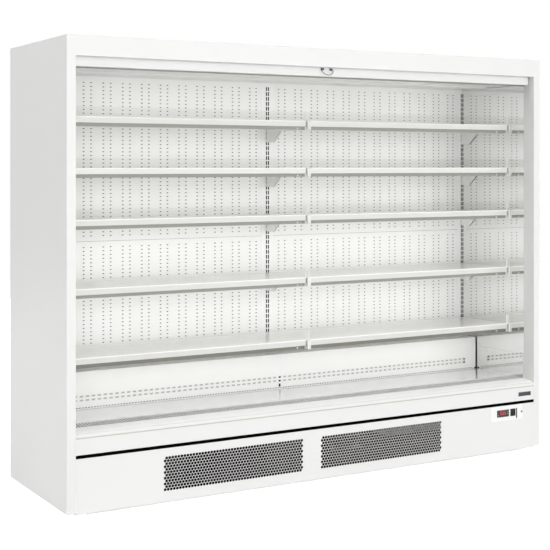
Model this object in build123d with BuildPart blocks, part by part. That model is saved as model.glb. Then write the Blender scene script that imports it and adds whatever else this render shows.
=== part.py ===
from build123d import *
import os
from math import cos, radians, sin

# Open multideck display fridge: two bays of five hooked shelves between insulated end panels,
# with a night blind under the canopy and a plug-in cooling unit under the tank.
# Millimetres, +X to the viewer's right, +Y into the case, +Z up. The front is at low Y.

# ---------------------------------------------------------------- driving dimensions
WIDTH = 2530                    # over the end panels
HEIGHT = 1970
FRONT = -362.5                  # plane of the fascias, the kick panel and the end panel edges
BACK = 364.5
END_THICK = 39                  # insulated end panel
SKIN = 0.6                      # steel skin of the foamed panels
SHEET = 1.5                     # folded sheet of liners, pans and fascias
FIT_GAP = 0.3                   # between pieces that move apart

IN_X = WIDTH / 2 - END_THICK    # inner face of an end panel
LINER_X = IN_X - SHEET          # face of the mirror liner
END_BOTTOM = 16
RAIL_TOP = 60                   # top of the skid rails
TANK_BOTTOM = 250
TANK_FLOOR = 282
ROOF_BOTTOM = 1930
REAR_WALL_FRONT = 300
DUCT_FACE = 212                 # front of the perforated duct panels and the uprights
DUCT_BOTTOM = 515.5
CEILING = 1846
LINER_FRONT = -289              # front edge of the mirror liners

# shelves
SLOT_PITCH = 24.5
SLOT_HEIGHT = 18
SLOT_WIDTH = 5
TOP_SLOT = 1825.3               # upper end of the highest slot
SLOT_COUNT = 53
SLOT_X = 5.5                    # slot column from the middle of the case, and from the liner plane
SHELF_TOP = 1646                # top of the ticket rail on the highest shelf
SHELF_STEPS = (0, 9, 18, 30, 42)  # slot pitches from the highest shelf down to each level
TICKET_FACE = -176              # front of the ticket rail
TICKET_HEIGHT = 26
TRAY_BACK = 198
TRAY_DROP = 6                   # tray floor below the top of the ticket rail
SKIRT_FACE = -160
SHELF_DEEP = 42                 # tray skirt and bracket arm below the top of the ticket rail
NOSE_FACE = -186
NOSE_WIDTH = 8
PLATE = 3                       # bracket plate thickness
GUSSET_DEEP = 95
GLASS_THICK = 6
GLASS_FACE = -172
GLASS_RISE = 43

# sill, from the bumper back to the evaporator cover
BUMPER_BACK = -281
BUMPER_BASE = 321.8
BUMPER_TOP = 349.5
MESH_BACK = -214.5
DECK_FRONT_Z = 355
DECK_BACK_Z = 347
COVER_FACE = 91
COVER_TOP = 515
SHADOW_TOP = 252.5              # dark gap between the front fascia and the kick panel
KICK_TOP = 240
KICK_BOTTOM = 11

# night blind
CANOPY_BOTTOM = 1886
BLIND_RAIL_FACE = -326
BLIND_RAIL_THICK = 14
BLIND_RAIL_LOW = 1845
BLIND_RAIL_TALL = 44
BLIND_RAIL_HALF = 1221
ROLLER_Y = -339
ROLLER_Z = 1924
ROLLER_RADIUS = 12.5
WOUND_RADIUS = 20
SPINDLE_RADIUS = 5
RUN_GAP = 0.06                  # radial running fit of spindles and pins
BORE_SIDES = 12                 # flats of a small bore, measured across the flats
HANDLE_MID = 5                  # middle of the pull handle
HANDLE_REACH = 23               # lug from the middle of the handle
HANDLE_Y = -330
HANDLE_Z = 1878
WIRE_RADIUS = 1.4

# controls on the kick panel
CONTROLLER_X = 1023.5
CONTROL_Z = 200.5
BEZEL_WIDE = 76
BEZEL_TALL = 35
BEZEL_PROUD = 1.5
KEY_PROUD = 2.0
ROCKER_XS = (1080, 1095)
ROCKER_WIDE = 13.2
ROCKER_TALL = 29.4
ROCKER_TILT = 6                 # degrees either side of level

# cooling unit
COMPRESSOR_X, COMPRESSOR_Y = 250, -80
COMPRESSOR_RADIUS = 85
CONDENSER_X = -490
CONDENSER_WIDE = 400
CONDENSER_Z = 152
EVAPORATOR_HALF = 900
EVAPORATOR_FANS = (-500, 500)
EVAPORATOR_FAN_Z = 397

os.makedirs("parts", exist_ok=True)


def save(part, name):
    part.label = name
    export_step(part, f"parts/{name}.step")


def sheet_outline(line, thickness, side):
    """Closed outline of a bent sheet: the line, and the same line moved sideways with mitred corners."""
    points = [Vector(*point) for point in line]
    headings = [(b - a).normalized() for a, b in zip(points, points[1:])]
    normals = [Vector(side * h.Y, -side * h.X) for h in headings]
    mitres = [(a + b) * (1 / (1 + a.dot(b))) for a, b in zip(normals[:1] + normals, normals + normals[-1:])]
    moved = [point + mitre * thickness for point, mitre in zip(points, mitres)]
    return points + moved[::-1]


RIGHT_OF_LINE, LEFT_OF_LINE = 1, -1


def folded_sheet(line, x_start, x_end, thickness=SHEET, side=RIGHT_OF_LINE):
    """Sheet bent along a line in the YZ plane and run along X, thickened to one side of the line."""
    with BuildSketch(Plane.YZ.offset(x_start)) as profile:
        with BuildLine():
            Polyline(*sheet_outline(line, thickness, side), close=True)
        make_face()
    extrude(profile.sketch, amount=x_end - x_start)


def box_between(low, high, mode=Mode.ADD):
    """Box from its lowest to its highest corner."""
    size = [b - a for a, b in zip(low, high)]
    with Locations(tuple(low)):
        Box(*size, align=(Align.MIN, Align.MIN, Align.MIN), mode=mode)


def hollow_bar(low, high, wall=3):
    """Box section closed at its ends."""
    box_between(low, high)
    box_between([v + wall for v in low], [v - wall for v in high], mode=Mode.SUBTRACT)


def foamed_panel(low, high):
    """Closed steel skin of an insulated panel."""
    hollow_bar(low, high, wall=SKIN)


# ---------------------------------------------------------------- base frame
RAIL_HALF = 1166                # half length of the skid rails
RAIL_DEEP = 40
RAIL_SETBACK = 25
FRONT_RAIL_Y = FRONT + RAIL_SETBACK + RAIL_DEEP / 2
REAR_RAIL_Y = 278
RAIL_WALL = 3
FLOOR_SHEET = 2                 # machine floor laid on the rails
CROSS_XS = (-1120, -560, 0, 560, 1120)
POST_XS = (-1120, 0, 1120)
APRON_HALF = IN_X - 1.5

with BuildPart() as base_frame:
    with BuildSketch(Plane.YZ.offset(-RAIL_HALF)):
        with Locations((FRONT_RAIL_Y, RAIL_TOP / 2), (REAR_RAIL_Y, RAIL_TOP / 2)):
            Rectangle(RAIL_DEEP, RAIL_TOP)
            Rectangle(RAIL_DEEP - 2 * RAIL_WALL, RAIL_TOP - 2 * RAIL_WALL, mode=Mode.SUBTRACT)
    extrude(amount=2 * RAIL_HALF)
    for cross_x in CROSS_XS:
        hollow_bar((cross_x - 20, FRONT_RAIL_Y + RAIL_DEEP / 2, 30),
                   (cross_x + 20, REAR_RAIL_Y - RAIL_DEEP / 2, RAIL_TOP))
    box_between((-1150, FRONT_RAIL_Y, RAIL_TOP), (1150, REAR_RAIL_Y, RAIL_TOP + FLOOR_SHEET))
    for post_y in (FRONT_RAIL_Y, REAR_RAIL_Y):
        for post_x in POST_XS:
            hollow_bar((post_x - 20, post_y - 20, RAIL_TOP), (post_x + 20, post_y + 20, TANK_BOTTOM))
    # rear apron, which closes the machine room from behind
    apron_back = REAR_RAIL_Y + RAIL_DEEP / 2
    box_between((-APRON_HALF, apron_back - SHEET, RAIL_TOP - RAIL_WALL), (APRON_HALF, apron_back, TANK_BOTTOM))
save(base_frame.part, "base_frame")

# ---------------------------------------------------------------- insulated shell
for side_name, sign in (("left", -1), ("right", 1)):
    inner, outer = sorted((sign * IN_X, sign * WIDTH / 2))
    with BuildPart() as end_panel:
        box_between((inner, FRONT, END_BOTTOM), (outer, BACK, HEIGHT))
        outer_edges = end_panel.edges().filter_by(Axis.Z).filter_by(lambda e: abs(e.center().X) > IN_X + 1)
        chamfer(outer_edges, length=1.5)
        box_between((inner + SKIN, FRONT + SKIN + 2, END_BOTTOM + SKIN),
                    (outer - SKIN, BACK - SKIN - 2, HEIGHT - SKIN), mode=Mode.SUBTRACT)
    save(end_panel.part, f"end_panel_{side_name}")

with BuildPart() as rear_wall:
    foamed_panel((-IN_X, REAR_WALL_FRONT, TANK_FLOOR), (IN_X, BACK, ROOF_BOTTOM))
save(rear_wall.part, "rear_wall")

ROOF_FRONT = -298
with BuildPart() as roof_panel:
    foamed_panel((-IN_X, ROOF_FRONT, ROOF_BOTTOM), (IN_X, BACK, HEIGHT))
save(roof_panel.part, "roof_panel")

# The tank is a foamed floor with an upstand under the bumper and two sleeved holes for the pipes.
TANK_FRONT = -345
UPSTAND_BACK = -300
UPSTAND_TOP = 338
PIPE_RISERS = ((1080, 230), (1050, 260))
with BuildPart() as insulated_tank:
    with BuildSketch(Plane.YZ.offset(-IN_X)):
        with BuildLine():
            Polyline((TANK_FRONT, TANK_BOTTOM), (BACK, TANK_BOTTOM), (BACK, TANK_FLOOR),
                     (UPSTAND_BACK, TANK_FLOOR), (UPSTAND_BACK, UPSTAND_TOP),
                     (TANK_FRONT, UPSTAND_TOP), close=True)
        make_face()
    extrude(amount=2 * IN_X)
    box_between((-IN_X + SKIN, UPSTAND_BACK, TANK_BOTTOM + SKIN),
                (IN_X - SKIN, BACK - SKIN, TANK_FLOOR - SKIN), mode=Mode.SUBTRACT)
    box_between((-IN_X + SKIN, TANK_FRONT + SKIN, TANK_BOTTOM + SKIN),
                (IN_X - SKIN, UPSTAND_BACK - SKIN, UPSTAND_TOP - SKIN), mode=Mode.SUBTRACT)
    for riser_x, riser_y in PIPE_RISERS:
        box_between((riser_x - 13, riser_y - 13, TANK_BOTTOM), (riser_x + 13, riser_y + 13, TANK_FLOOR))
        box_between((riser_x - 10, riser_y - 10, TANK_BOTTOM), (riser_x + 10, riser_y + 10, TANK_FLOOR),
                    mode=Mode.SUBTRACT)
save(insulated_tank.part, "insulated_tank")

# ---------------------------------------------------------------- fascias and bumper
with BuildPart() as canopy_fascia:
    folded_sheet(((-338, CANOPY_BOTTOM), (FRONT, CANOPY_BOTTOM), (FRONT, HEIGHT), (ROOF_FRONT, HEIGHT)),
                 -IN_X, IN_X)
save(canopy_fascia.part, "canopy_fascia")

with BuildPart() as front_fascia:
    folded_sheet(((TANK_FRONT, SHADOW_TOP), (FRONT, SHADOW_TOP), (FRONT, BUMPER_BASE - 0.8),
                  (TANK_FRONT, BUMPER_BASE - 0.8)), -IN_X + 0.5, IN_X - 0.5)
save(front_fascia.part, "front_fascia")

# Bumper: a hollow nose with three grooves run along its gently falling top.
GROOVES = ((-296, 349.1), (-318, 346.9), (-340, 343.3))
with BuildPart() as bumper_rail:
    with BuildSketch(Plane.YZ.offset(-IN_X + 0.5)):
        with BuildLine():
            Line((FRONT, BUMPER_BASE), (FRONT, 330))
            TangentArc((FRONT, 330), (-351, 340.5), tangent=(0, 1))
            ThreePointArc((-351, 340.5), (-320, 346.6), (BUMPER_BACK, BUMPER_TOP))
            Polyline((BUMPER_BACK, BUMPER_TOP), (BUMPER_BACK, UPSTAND_TOP), (TANK_FRONT, UPSTAND_TOP),
                     (TANK_FRONT, BUMPER_BASE), (FRONT, BUMPER_BASE))
        make_face()
        with Locations(*GROOVES):
            Rectangle(1.6, 2.4, mode=Mode.SUBTRACT)
    extrude(amount=2 * IN_X - 1)
save(bumper_rail.part, "bumper_rail")

# ---------------------------------------------------------------- kick panel with its two air intakes
INTAKES = ((-835, -139.5), (-50, 642))
INTAKE_LOW, INTAKE_HIGH = 55, 205
KICK_HALF = IN_X - 1.5
with BuildPart() as kick_panel:
    folded_sheet(((FRONT + 18, KICK_BOTTOM), (FRONT, KICK_BOTTOM), (FRONT, KICK_TOP), (FRONT + 16, KICK_TOP)),
                 -KICK_HALF, KICK_HALF)
    for low_x, high_x in INTAKES:
        box_between((low_x, FRONT, INTAKE_LOW), (high_x, FRONT + SHEET, INTAKE_HIGH), mode=Mode.SUBTRACT)
    box_between((CONTROLLER_X - 35.5, FRONT, CONTROL_Z - 14.5),
                (CONTROLLER_X + 35.5, FRONT + SHEET, CONTROL_Z + 14.5), mode=Mode.SUBTRACT)
    box_between((ROCKER_XS[0] - 8.5, FRONT, CONTROL_Z - 16.5),
                (ROCKER_XS[1] + 8.5, FRONT + SHEET, CONTROL_Z + 16.5), mode=Mode.SUBTRACT)
    # perforated sheets that fill the two windows
    for low_x, high_x in INTAKES:
        box_between((low_x, FRONT + 0.2, INTAKE_LOW), (high_x, FRONT + 1.2, INTAKE_HIGH))
save(kick_panel.part, "kick_panel")

# ---------------------------------------------------------------- controls
CASE_WIDE, CASE_TALL, CASE_DEEP = 70, 28, 52
KEYS = {"key_up": (30, 7.5), "key_down": (30, -4), "key_set": (-29, -9)}
KEY_WIDE, KEY_TALL = 5.2, 4.2
KEY_STEM = 3
BEZEL_FACE = FRONT - BEZEL_PROUD
with BuildPart() as controller:
    with BuildSketch(Plane.XZ.offset(-FRONT)):
        with Locations((CONTROLLER_X, CONTROL_Z)):
            Rectangle(BEZEL_WIDE, BEZEL_TALL)
    extrude(amount=BEZEL_PROUD)
    chamfer(controller.edges().filter_by(Axis.Y), length=2)
    box_between((CONTROLLER_X - CASE_WIDE / 2, FRONT, CONTROL_Z - CASE_TALL / 2),
                (CONTROLLER_X + CASE_WIDE / 2, FRONT + CASE_DEEP, CONTROL_Z + CASE_TALL / 2))
    box_between((CONTROLLER_X - 24, BEZEL_FACE, CONTROL_Z - 10),
                (CONTROLLER_X + 24, BEZEL_FACE + 0.8, CONTROL_Z + 12), mode=Mode.SUBTRACT)
    with BuildSketch(Plane.XZ.offset(-BEZEL_FACE)):
        with Locations(*[(CONTROLLER_X + x, CONTROL_Z + z) for x, z in KEYS.values()]):
            Rectangle(KEY_WIDE + 2 * FIT_GAP, KEY_TALL + 2 * FIT_GAP)
    extrude(amount=-KEY_STEM - 1.5, mode=Mode.SUBTRACT)
save(controller.part, "controller")

for key_name, (key_x, key_z) in KEYS.items():
    with BuildPart() as key:
        with BuildSketch(Plane.XZ.offset(-FRONT + KEY_PROUD)):
            with Locations((CONTROLLER_X + key_x, CONTROL_Z + key_z)):
                Rectangle(KEY_WIDE, KEY_TALL)
        extrude(amount=-KEY_STEM)
        chamfer(key.edges().group_by(Axis.Y)[0], length=0.4)
    save(key.part, key_name)

ROCKER_PIVOT_Y = FRONT + 5.9
PIN_RADIUS = 1.5
CAVITY_WIDE = ROCKER_WIDE + 0.6
with BuildPart() as switch_bezel:
    mid_x = sum(ROCKER_XS) / 2
    box_between((ROCKER_XS[0] - 9, FRONT - 1, CONTROL_Z - 18), (ROCKER_XS[1] + 9, FRONT, CONTROL_Z + 18))
    box_between((ROCKER_XS[0] - 8.4, FRONT, CONTROL_Z - 16.4), (ROCKER_XS[1] + 8.4, FRONT + 22, CONTROL_Z + 16.4))
    for rocker_x in ROCKER_XS:
        box_between((rocker_x - CAVITY_WIDE / 2, FRONT - 1, CONTROL_Z - 15.4),
                    (rocker_x + CAVITY_WIDE / 2, FRONT + 15, CONTROL_Z + 15.4), mode=Mode.SUBTRACT)
    with BuildSketch(Plane.YZ.offset(ROCKER_XS[0] - CAVITY_WIDE / 2 - 0.8)):
        with Locations((ROCKER_PIVOT_Y, CONTROL_Z)):
            RegularPolygon(PIN_RADIUS + RUN_GAP, BORE_SIDES, major_radius=False)
    extrude(amount=ROCKER_XS[1] - ROCKER_XS[0] + CAVITY_WIDE + 1.6, mode=Mode.SUBTRACT)
save(switch_bezel.part, "switch_bezel")

for side_name, rocker_x in zip(("left", "right"), ROCKER_XS):
    with BuildPart() as rocker:
        # side view: a shallow V face over a stem, turned to its "on" side about the pivot
        with BuildSketch(Plane.YZ.offset(rocker_x - ROCKER_WIDE / 2)):
            with BuildLine():
                Polyline((ROCKER_PIVOT_Y - 6.4, -ROCKER_TALL / 2), (ROCKER_PIVOT_Y - 4.9, 0),
                         (ROCKER_PIVOT_Y - 6.4, ROCKER_TALL / 2), (ROCKER_PIVOT_Y - 1, ROCKER_TALL / 2),
                         (ROCKER_PIVOT_Y + 5, 4), (ROCKER_PIVOT_Y + 5, -4),
                         (ROCKER_PIVOT_Y - 1, -ROCKER_TALL / 2), close=True)
            make_face()
        extrude(amount=ROCKER_WIDE)
        with BuildSketch(Plane.YZ.offset(rocker_x - ROCKER_WIDE / 2 - 0.8)):
            with Locations((ROCKER_PIVOT_Y, 0)):
                RegularPolygon(PIN_RADIUS, 8)
        extrude(amount=ROCKER_WIDE + 1.6)
    turned = rocker.part.rotate(Axis((0, ROCKER_PIVOT_Y, 0), (1, 0, 0)), ROCKER_TILT)
    save(turned.moved(Location((0, 0, CONTROL_Z))), f"rocker_{side_name}")

# ---------------------------------------------------------------- sill and air path
LEDGE_Z = 340.5
with BuildPart() as return_air_grille:
    folded_sheet(((BUMPER_BACK, BUMPER_TOP), (MESH_BACK, DECK_FRONT_Z - 0.4), (MESH_BACK, LEDGE_Z),
                  (MESH_BACK + 24, LEDGE_Z)), -LINER_X, LINER_X)
save(return_air_grille.part, "return_air_grille")

DECK_FRONT, DECK_BACK = -213, 88
COVER_LEDGE_Z = 334
for side_name, low_x, high_x in (("left", -LINER_X + 1.5, -1.2), ("right", 1.2, LINER_X - 1.5)):
    with BuildPart() as deck_pan:
        folded_sheet(((DECK_FRONT, LEDGE_Z + FIT_GAP), (DECK_FRONT, DECK_FRONT_Z), (DECK_BACK, DECK_BACK_Z),
                      (DECK_BACK, COVER_LEDGE_Z + FIT_GAP)), low_x, high_x)
    save(deck_pan.part, f"deck_pan_{side_name}")

# Evaporator covers: the lower back panels, one a bay, with a ledge that carries the deck pans.
COVER_END = 1218.5
with BuildPart() as evaporator_covers:
    for low_x, high_x in ((-COVER_END, -1), (1, COVER_END)):
        folded_sheet(((COVER_FACE - 21, COVER_LEDGE_Z), (COVER_FACE, COVER_LEDGE_Z), (COVER_FACE, COVER_TOP),
                      (DUCT_FACE - 0.5, COVER_TOP + 2)), low_x, high_x)
save(evaporator_covers.part, "evaporator_covers")

DUCT_SEAM = 1088
DUCT_TOP = CEILING - 2
UPRIGHT_HALF = 34               # half width of the middle upright
DUCT_HEM = 12
with BuildPart() as duct_panels:
    for low_z, high_z in ((DUCT_BOTTOM, DUCT_SEAM - 0.8), (DUCT_SEAM + 0.8, DUCT_TOP)):
        with BuildSketch(Plane.XY.offset(low_z)):
            for bay in (-1, 1):
                low_x, high_x = sorted((bay * (UPRIGHT_HALF + FIT_GAP), bay * (IN_X - UPRIGHT_HALF - FIT_GAP)))
                pan = ((low_x, DUCT_FACE + DUCT_HEM), (low_x, DUCT_FACE), (high_x, DUCT_FACE),
                       (high_x, DUCT_FACE + DUCT_HEM))
                with BuildLine():
                    Polyline(*sheet_outline(pan, SHEET, LEFT_OF_LINE), close=True)
                make_face()
        extrude(amount=high_z - low_z)
save(duct_panels.part, "duct_panels")

# Slotted uprights: a channel in the middle and a half channel at each end panel.
UPRIGHT_SHEET = 2
SLOT_MIDS = [TOP_SLOT - SLOT_HEIGHT / 2 - SLOT_PITCH * k for k in range(SLOT_COUNT)]
UPRIGHT_FOLDS = (
    ((-UPRIGHT_HALF, REAR_WALL_FRONT), (-UPRIGHT_HALF, DUCT_FACE), (UPRIGHT_HALF, DUCT_FACE),
     (UPRIGHT_HALF, REAR_WALL_FRONT)),
    ((IN_X - UPRIGHT_HALF, REAR_WALL_FRONT), (IN_X - UPRIGHT_HALF, DUCT_FACE), (IN_X, DUCT_FACE)),
    ((-IN_X, DUCT_FACE), (UPRIGHT_HALF - IN_X, DUCT_FACE), (UPRIGHT_HALF - IN_X, REAR_WALL_FRONT)),
)
with BuildPart() as uprights:
    with BuildSketch(Plane.XY.offset(DUCT_BOTTOM)):
        for fold in UPRIGHT_FOLDS:
            with BuildLine():
                Polyline(*sheet_outline(fold, UPRIGHT_SHEET, LEFT_OF_LINE), close=True)
            make_face()
    extrude(amount=DUCT_TOP - DUCT_BOTTOM)
    with BuildSketch(Plane.XZ.offset(-DUCT_FACE)):
        column_xs = (SLOT_X - LINER_X, -SLOT_X, SLOT_X, LINER_X - SLOT_X)
        with Locations(*[(x, z) for x in column_xs for z in SLOT_MIDS]):
            Rectangle(SLOT_WIDTH, SLOT_HEIGHT)
    extrude(amount=-UPRIGHT_SHEET, mode=Mode.SUBTRACT)
save(uprights.part, "uprights")

CEILING_STEP_Y = 0
OUTLET_BACK = -200
with BuildPart() as ceiling_panel:
    folded_sheet(((OUTLET_BACK + FIT_GAP, CEILING + 6), (CEILING_STEP_Y, CEILING + 6), (CEILING_STEP_Y + 8, CEILING),
                  (DUCT_FACE, CEILING), (DUCT_FACE, CEILING - 2)), -LINER_X, LINER_X, side=LEFT_OF_LINE)
save(ceiling_panel.part, "ceiling_panel")

# The outlet is a honeycomb strip. Here its cells run together into long slots.
OUTLET_SLOTS = 8
OUTLET_LOW, OUTLET_HIGH = CEILING + 2, CEILING + 22
with BuildPart() as air_outlet:
    box_between((-LINER_X, ROOF_FRONT, OUTLET_LOW), (LINER_X, OUTLET_BACK, OUTLET_HIGH))
    slot_pitch = (OUTLET_BACK - ROOF_FRONT) / OUTLET_SLOTS
    for slot in range(OUTLET_SLOTS):
        slot_y = ROOF_FRONT + slot_pitch * slot
        box_between((2 - LINER_X, slot_y + 1, OUTLET_LOW), (LINER_X - 2, slot_y + slot_pitch - 1, OUTLET_HIGH),
                    mode=Mode.SUBTRACT)
save(air_outlet.part, "air_outlet")

LINER_BANDS = ((UPSTAND_TOP + 2, 469.5), (470.5, 1810.5), (1811.5, CEILING))
with BuildPart() as mirror_liners:
    for low_x, high_x in ((-IN_X, -LINER_X), (LINER_X, IN_X)):
        for low_z, high_z in LINER_BANDS:
            front = BUMPER_BACK + 0.3 if low_z < BUMPER_TOP else LINER_FRONT
            box_between((low_x, front, low_z), (high_x, DUCT_FACE - 0.5, high_z))
save(mirror_liners.part, "mirror_liners")

# ---------------------------------------------------------------- shelves
HOOK_SLOTS = (8, 10)            # slots that the highest shelf's hooks sit in, counted from the top
HOOK_NECK = 7
HOOK_DROP = 9
HOOK_Y = DUCT_FACE + UPRIGHT_SHEET + 0.5
HOOK_THICK = 3


def cantilever_bracket(plate_x, nose_x, top):
    """Bracket plate with a deep root, two hooks behind the upright, and a nose at its free end."""
    low_arm = top - SHELF_DEEP
    with BuildSketch(Plane.YZ.offset(plate_x - PLATE / 2)) as profile:
        with BuildLine():
            Polyline((NOSE_FACE, top), (NOSE_FACE, low_arm), (82, low_arm), (147, top - GUSSET_DEEP),
                     (DUCT_FACE - 0.5, top - GUSSET_DEEP), (DUCT_FACE - 0.5, top - TRAY_DROP - 1.6),
                     (TICKET_FACE + 16, top - TRAY_DROP - 1.6), (TICKET_FACE + 14, top), close=True)
        make_face()
        for slot in HOOK_SLOTS:
            seat = TOP_SLOT - SLOT_HEIGHT - SLOT_PITCH * slot + top - SHELF_TOP + FIT_GAP
            with BuildLine():
                Polyline((DUCT_FACE - 0.5, seat), (HOOK_Y, seat), (HOOK_Y, seat - HOOK_DROP),
                         (HOOK_Y + HOOK_THICK, seat - HOOK_DROP + 3), (HOOK_Y + HOOK_THICK, seat + HOOK_NECK),
                         (DUCT_FACE - 0.5, seat + HOOK_NECK), close=True)
            make_face()
    extrude(profile.sketch, amount=PLATE)
    box_between((nose_x - NOSE_WIDTH / 2, NOSE_FACE, low_arm), (nose_x + NOSE_WIDTH / 2, TICKET_FACE, top + 1.5))


def shelf_unit(bay, top):
    """Lift-off shelf of four solids: two brackets, the folded tray and the ticket rail on its skirt."""
    near_plate, far_plate = bay * SLOT_X, bay * (LINER_X - SLOT_X)
    near_nose, far_nose = bay * (NOSE_WIDTH / 2 + 0.5), bay * (LINER_X - NOSE_WIDTH / 2 - 0.8)
    tray_x = sorted((bay * 1.2, bay * (LINER_X - 1)))
    skirt_x = sorted((near_plate + bay * (PLATE / 2 + 0.5), far_plate - bay * (PLATE / 2 + 0.5)))
    rail_x = sorted((near_nose + bay * (NOSE_WIDTH / 2 + 0.5), far_nose - bay * (NOSE_WIDTH / 2 + 0.5)))
    floor_z = top - TRAY_DROP
    with BuildPart() as shelf:
        cantilever_bracket(near_plate, near_nose, top)
        cantilever_bracket(far_plate, far_nose, top)
        folded_sheet(((SKIRT_FACE + 2, floor_z), (TRAY_BACK, floor_z)), tray_x[0], tray_x[1])
        folded_sheet(((SKIRT_FACE + 10, top - SHELF_DEEP), (SKIRT_FACE, top - SHELF_DEEP),
                      (SKIRT_FACE, floor_z), (SKIRT_FACE + 6, floor_z)), skirt_x[0], skirt_x[1])
        folded_sheet(((TRAY_BACK - 8, floor_z), (TRAY_BACK, floor_z), (TRAY_BACK, floor_z - 18)),
                     skirt_x[0], skirt_x[1])
        # ticket rail: a front lip over a shallow ticket channel, and a slot that holds the glass
        with BuildSketch(Plane.YZ.offset(rail_x[0])):
            with BuildLine():
                Polyline((TICKET_FACE, top), (TICKET_FACE, top - 5), (TICKET_FACE + 1, top - 6.5),
                         (TICKET_FACE + 1, top - TICKET_HEIGHT + 3), (TICKET_FACE, top - TICKET_HEIGHT + 2),
                         (TICKET_FACE, top - TICKET_HEIGHT), (SKIRT_FACE - FIT_GAP, top - TICKET_HEIGHT),
                         (SKIRT_FACE - FIT_GAP, top), (GLASS_FACE + GLASS_THICK + 0.3, top),
                         (GLASS_FACE + GLASS_THICK + 0.3, top - 14), (GLASS_FACE - 0.3, top - 14),
                         (GLASS_FACE - 0.3, top), close=True)
            make_face()
        extrude(amount=rail_x[1] - rail_x[0])
    return shelf.part


def glass_riser(bay, top):
    """Clear riser stood in the slot of the ticket rail."""
    low_x, high_x = sorted((bay * (NOSE_WIDTH + 1.5), bay * (LINER_X - NOSE_WIDTH - 1.8)))
    with BuildPart() as riser:
        box_between((low_x, GLASS_FACE, top - 13.8), (high_x, GLASS_FACE + GLASS_THICK, top + GLASS_RISE))
    return riser.part


for level, steps in enumerate(SHELF_STEPS, start=1):
    shelf_top = SHELF_TOP - SLOT_PITCH * steps
    for side_name, bay in (("left", -1), ("right", 1)):
        save(shelf_unit(bay, shelf_top), f"shelf_{level}_{side_name}")
        save(glass_riser(bay, shelf_top), f"glass_riser_{level}_{side_name}")

# ---------------------------------------------------------------- night blind
BRACKET_INNER = LINER_X - 1.5
with BuildPart() as blind_brackets:
    for low_x, high_x in ((-IN_X, -BRACKET_INNER), (BRACKET_INNER, IN_X)):
        box_between((low_x, ROLLER_Y - 17, 1893), (high_x, ROLLER_Y + 30, 1958))
    with BuildSketch(Plane.YZ.offset(-IN_X)):
        with Locations((ROLLER_Y, ROLLER_Z)):
            RegularPolygon(SPINDLE_RADIUS + RUN_GAP, BORE_SIDES, major_radius=False)
    extrude(amount=2 * IN_X, mode=Mode.SUBTRACT)
save(blind_brackets.part, "blind_brackets")

ROLLER_HALF = 1212
with BuildPart() as blind_roller:
    for radius, half_length, mode in ((ROLLER_RADIUS, ROLLER_HALF, Mode.ADD), (SPINDLE_RADIUS, IN_X - 0.5, Mode.ADD),
                                      (ROLLER_RADIUS - 1.5, ROLLER_HALF - 10, Mode.SUBTRACT)):
        with BuildSketch(Plane.YZ.offset(-half_length)):
            with Locations((ROLLER_Y, ROLLER_Z)):
                Circle(radius)
        extrude(amount=2 * half_length, mode=mode)
save(blind_roller.part, "blind_roller")

WOUND_HALF = 1204
with BuildPart() as blind_fabric:
    with BuildSketch(Plane.YZ.offset(-WOUND_HALF)):
        with Locations((ROLLER_Y, ROLLER_Z)):
            Circle(WOUND_RADIUS)
            Circle(ROLLER_RADIUS + 0.2, mode=Mode.SUBTRACT)
    extrude(amount=2 * WOUND_HALF)
save(blind_fabric.part, "blind_fabric")

# Pull rail: an extrusion with a rounded lower nose, a fabric groove on top and two lugs for the handle.
with BuildPart() as blind_rail:
    back_y = BLIND_RAIL_FACE + BLIND_RAIL_THICK
    rail_top = BLIND_RAIL_LOW + BLIND_RAIL_TALL
    with BuildSketch(Plane.YZ.offset(-BLIND_RAIL_HALF)):
        with BuildLine():
            Polyline((BLIND_RAIL_FACE, BLIND_RAIL_LOW + 7), (BLIND_RAIL_FACE, rail_top),
                     (back_y - 8, rail_top), (back_y - 8, rail_top - 7), (back_y - 6, rail_top - 7),
                     (back_y - 6, rail_top), (back_y, rail_top), (back_y, BLIND_RAIL_LOW + 7))
            ThreePointArc((back_y, BLIND_RAIL_LOW + 7), (BLIND_RAIL_FACE + 7, BLIND_RAIL_LOW),
                          (BLIND_RAIL_FACE, BLIND_RAIL_LOW + 7))
        make_face()
        with Locations((BLIND_RAIL_FACE + BLIND_RAIL_THICK / 2, BLIND_RAIL_LOW + 20)):
            Rectangle(BLIND_RAIL_THICK - 3.6, 32, mode=Mode.SUBTRACT)
    extrude(amount=2 * BLIND_RAIL_HALF)
    for lug_x in (HANDLE_MID - HANDLE_REACH, HANDLE_MID + HANDLE_REACH):
        with BuildSketch(Plane.YZ.offset(lug_x - 5)):
            with BuildLine():
                Polyline((BLIND_RAIL_FACE, HANDLE_Z + 5), (HANDLE_Y - 2, HANDLE_Z + 4), (HANDLE_Y - 4, HANDLE_Z + 2),
                         (HANDLE_Y - 4, HANDLE_Z - 2), (HANDLE_Y - 2, HANDLE_Z - 4),
                         (BLIND_RAIL_FACE, HANDLE_Z - 5), close=True)
            make_face()
            with Locations((HANDLE_Y, HANDLE_Z)):
                RegularPolygon(WIRE_RADIUS + RUN_GAP, BORE_SIDES, major_radius=False, mode=Mode.SUBTRACT)
        extrude(amount=10)
save(blind_rail.part, "blind_rail")

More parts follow.
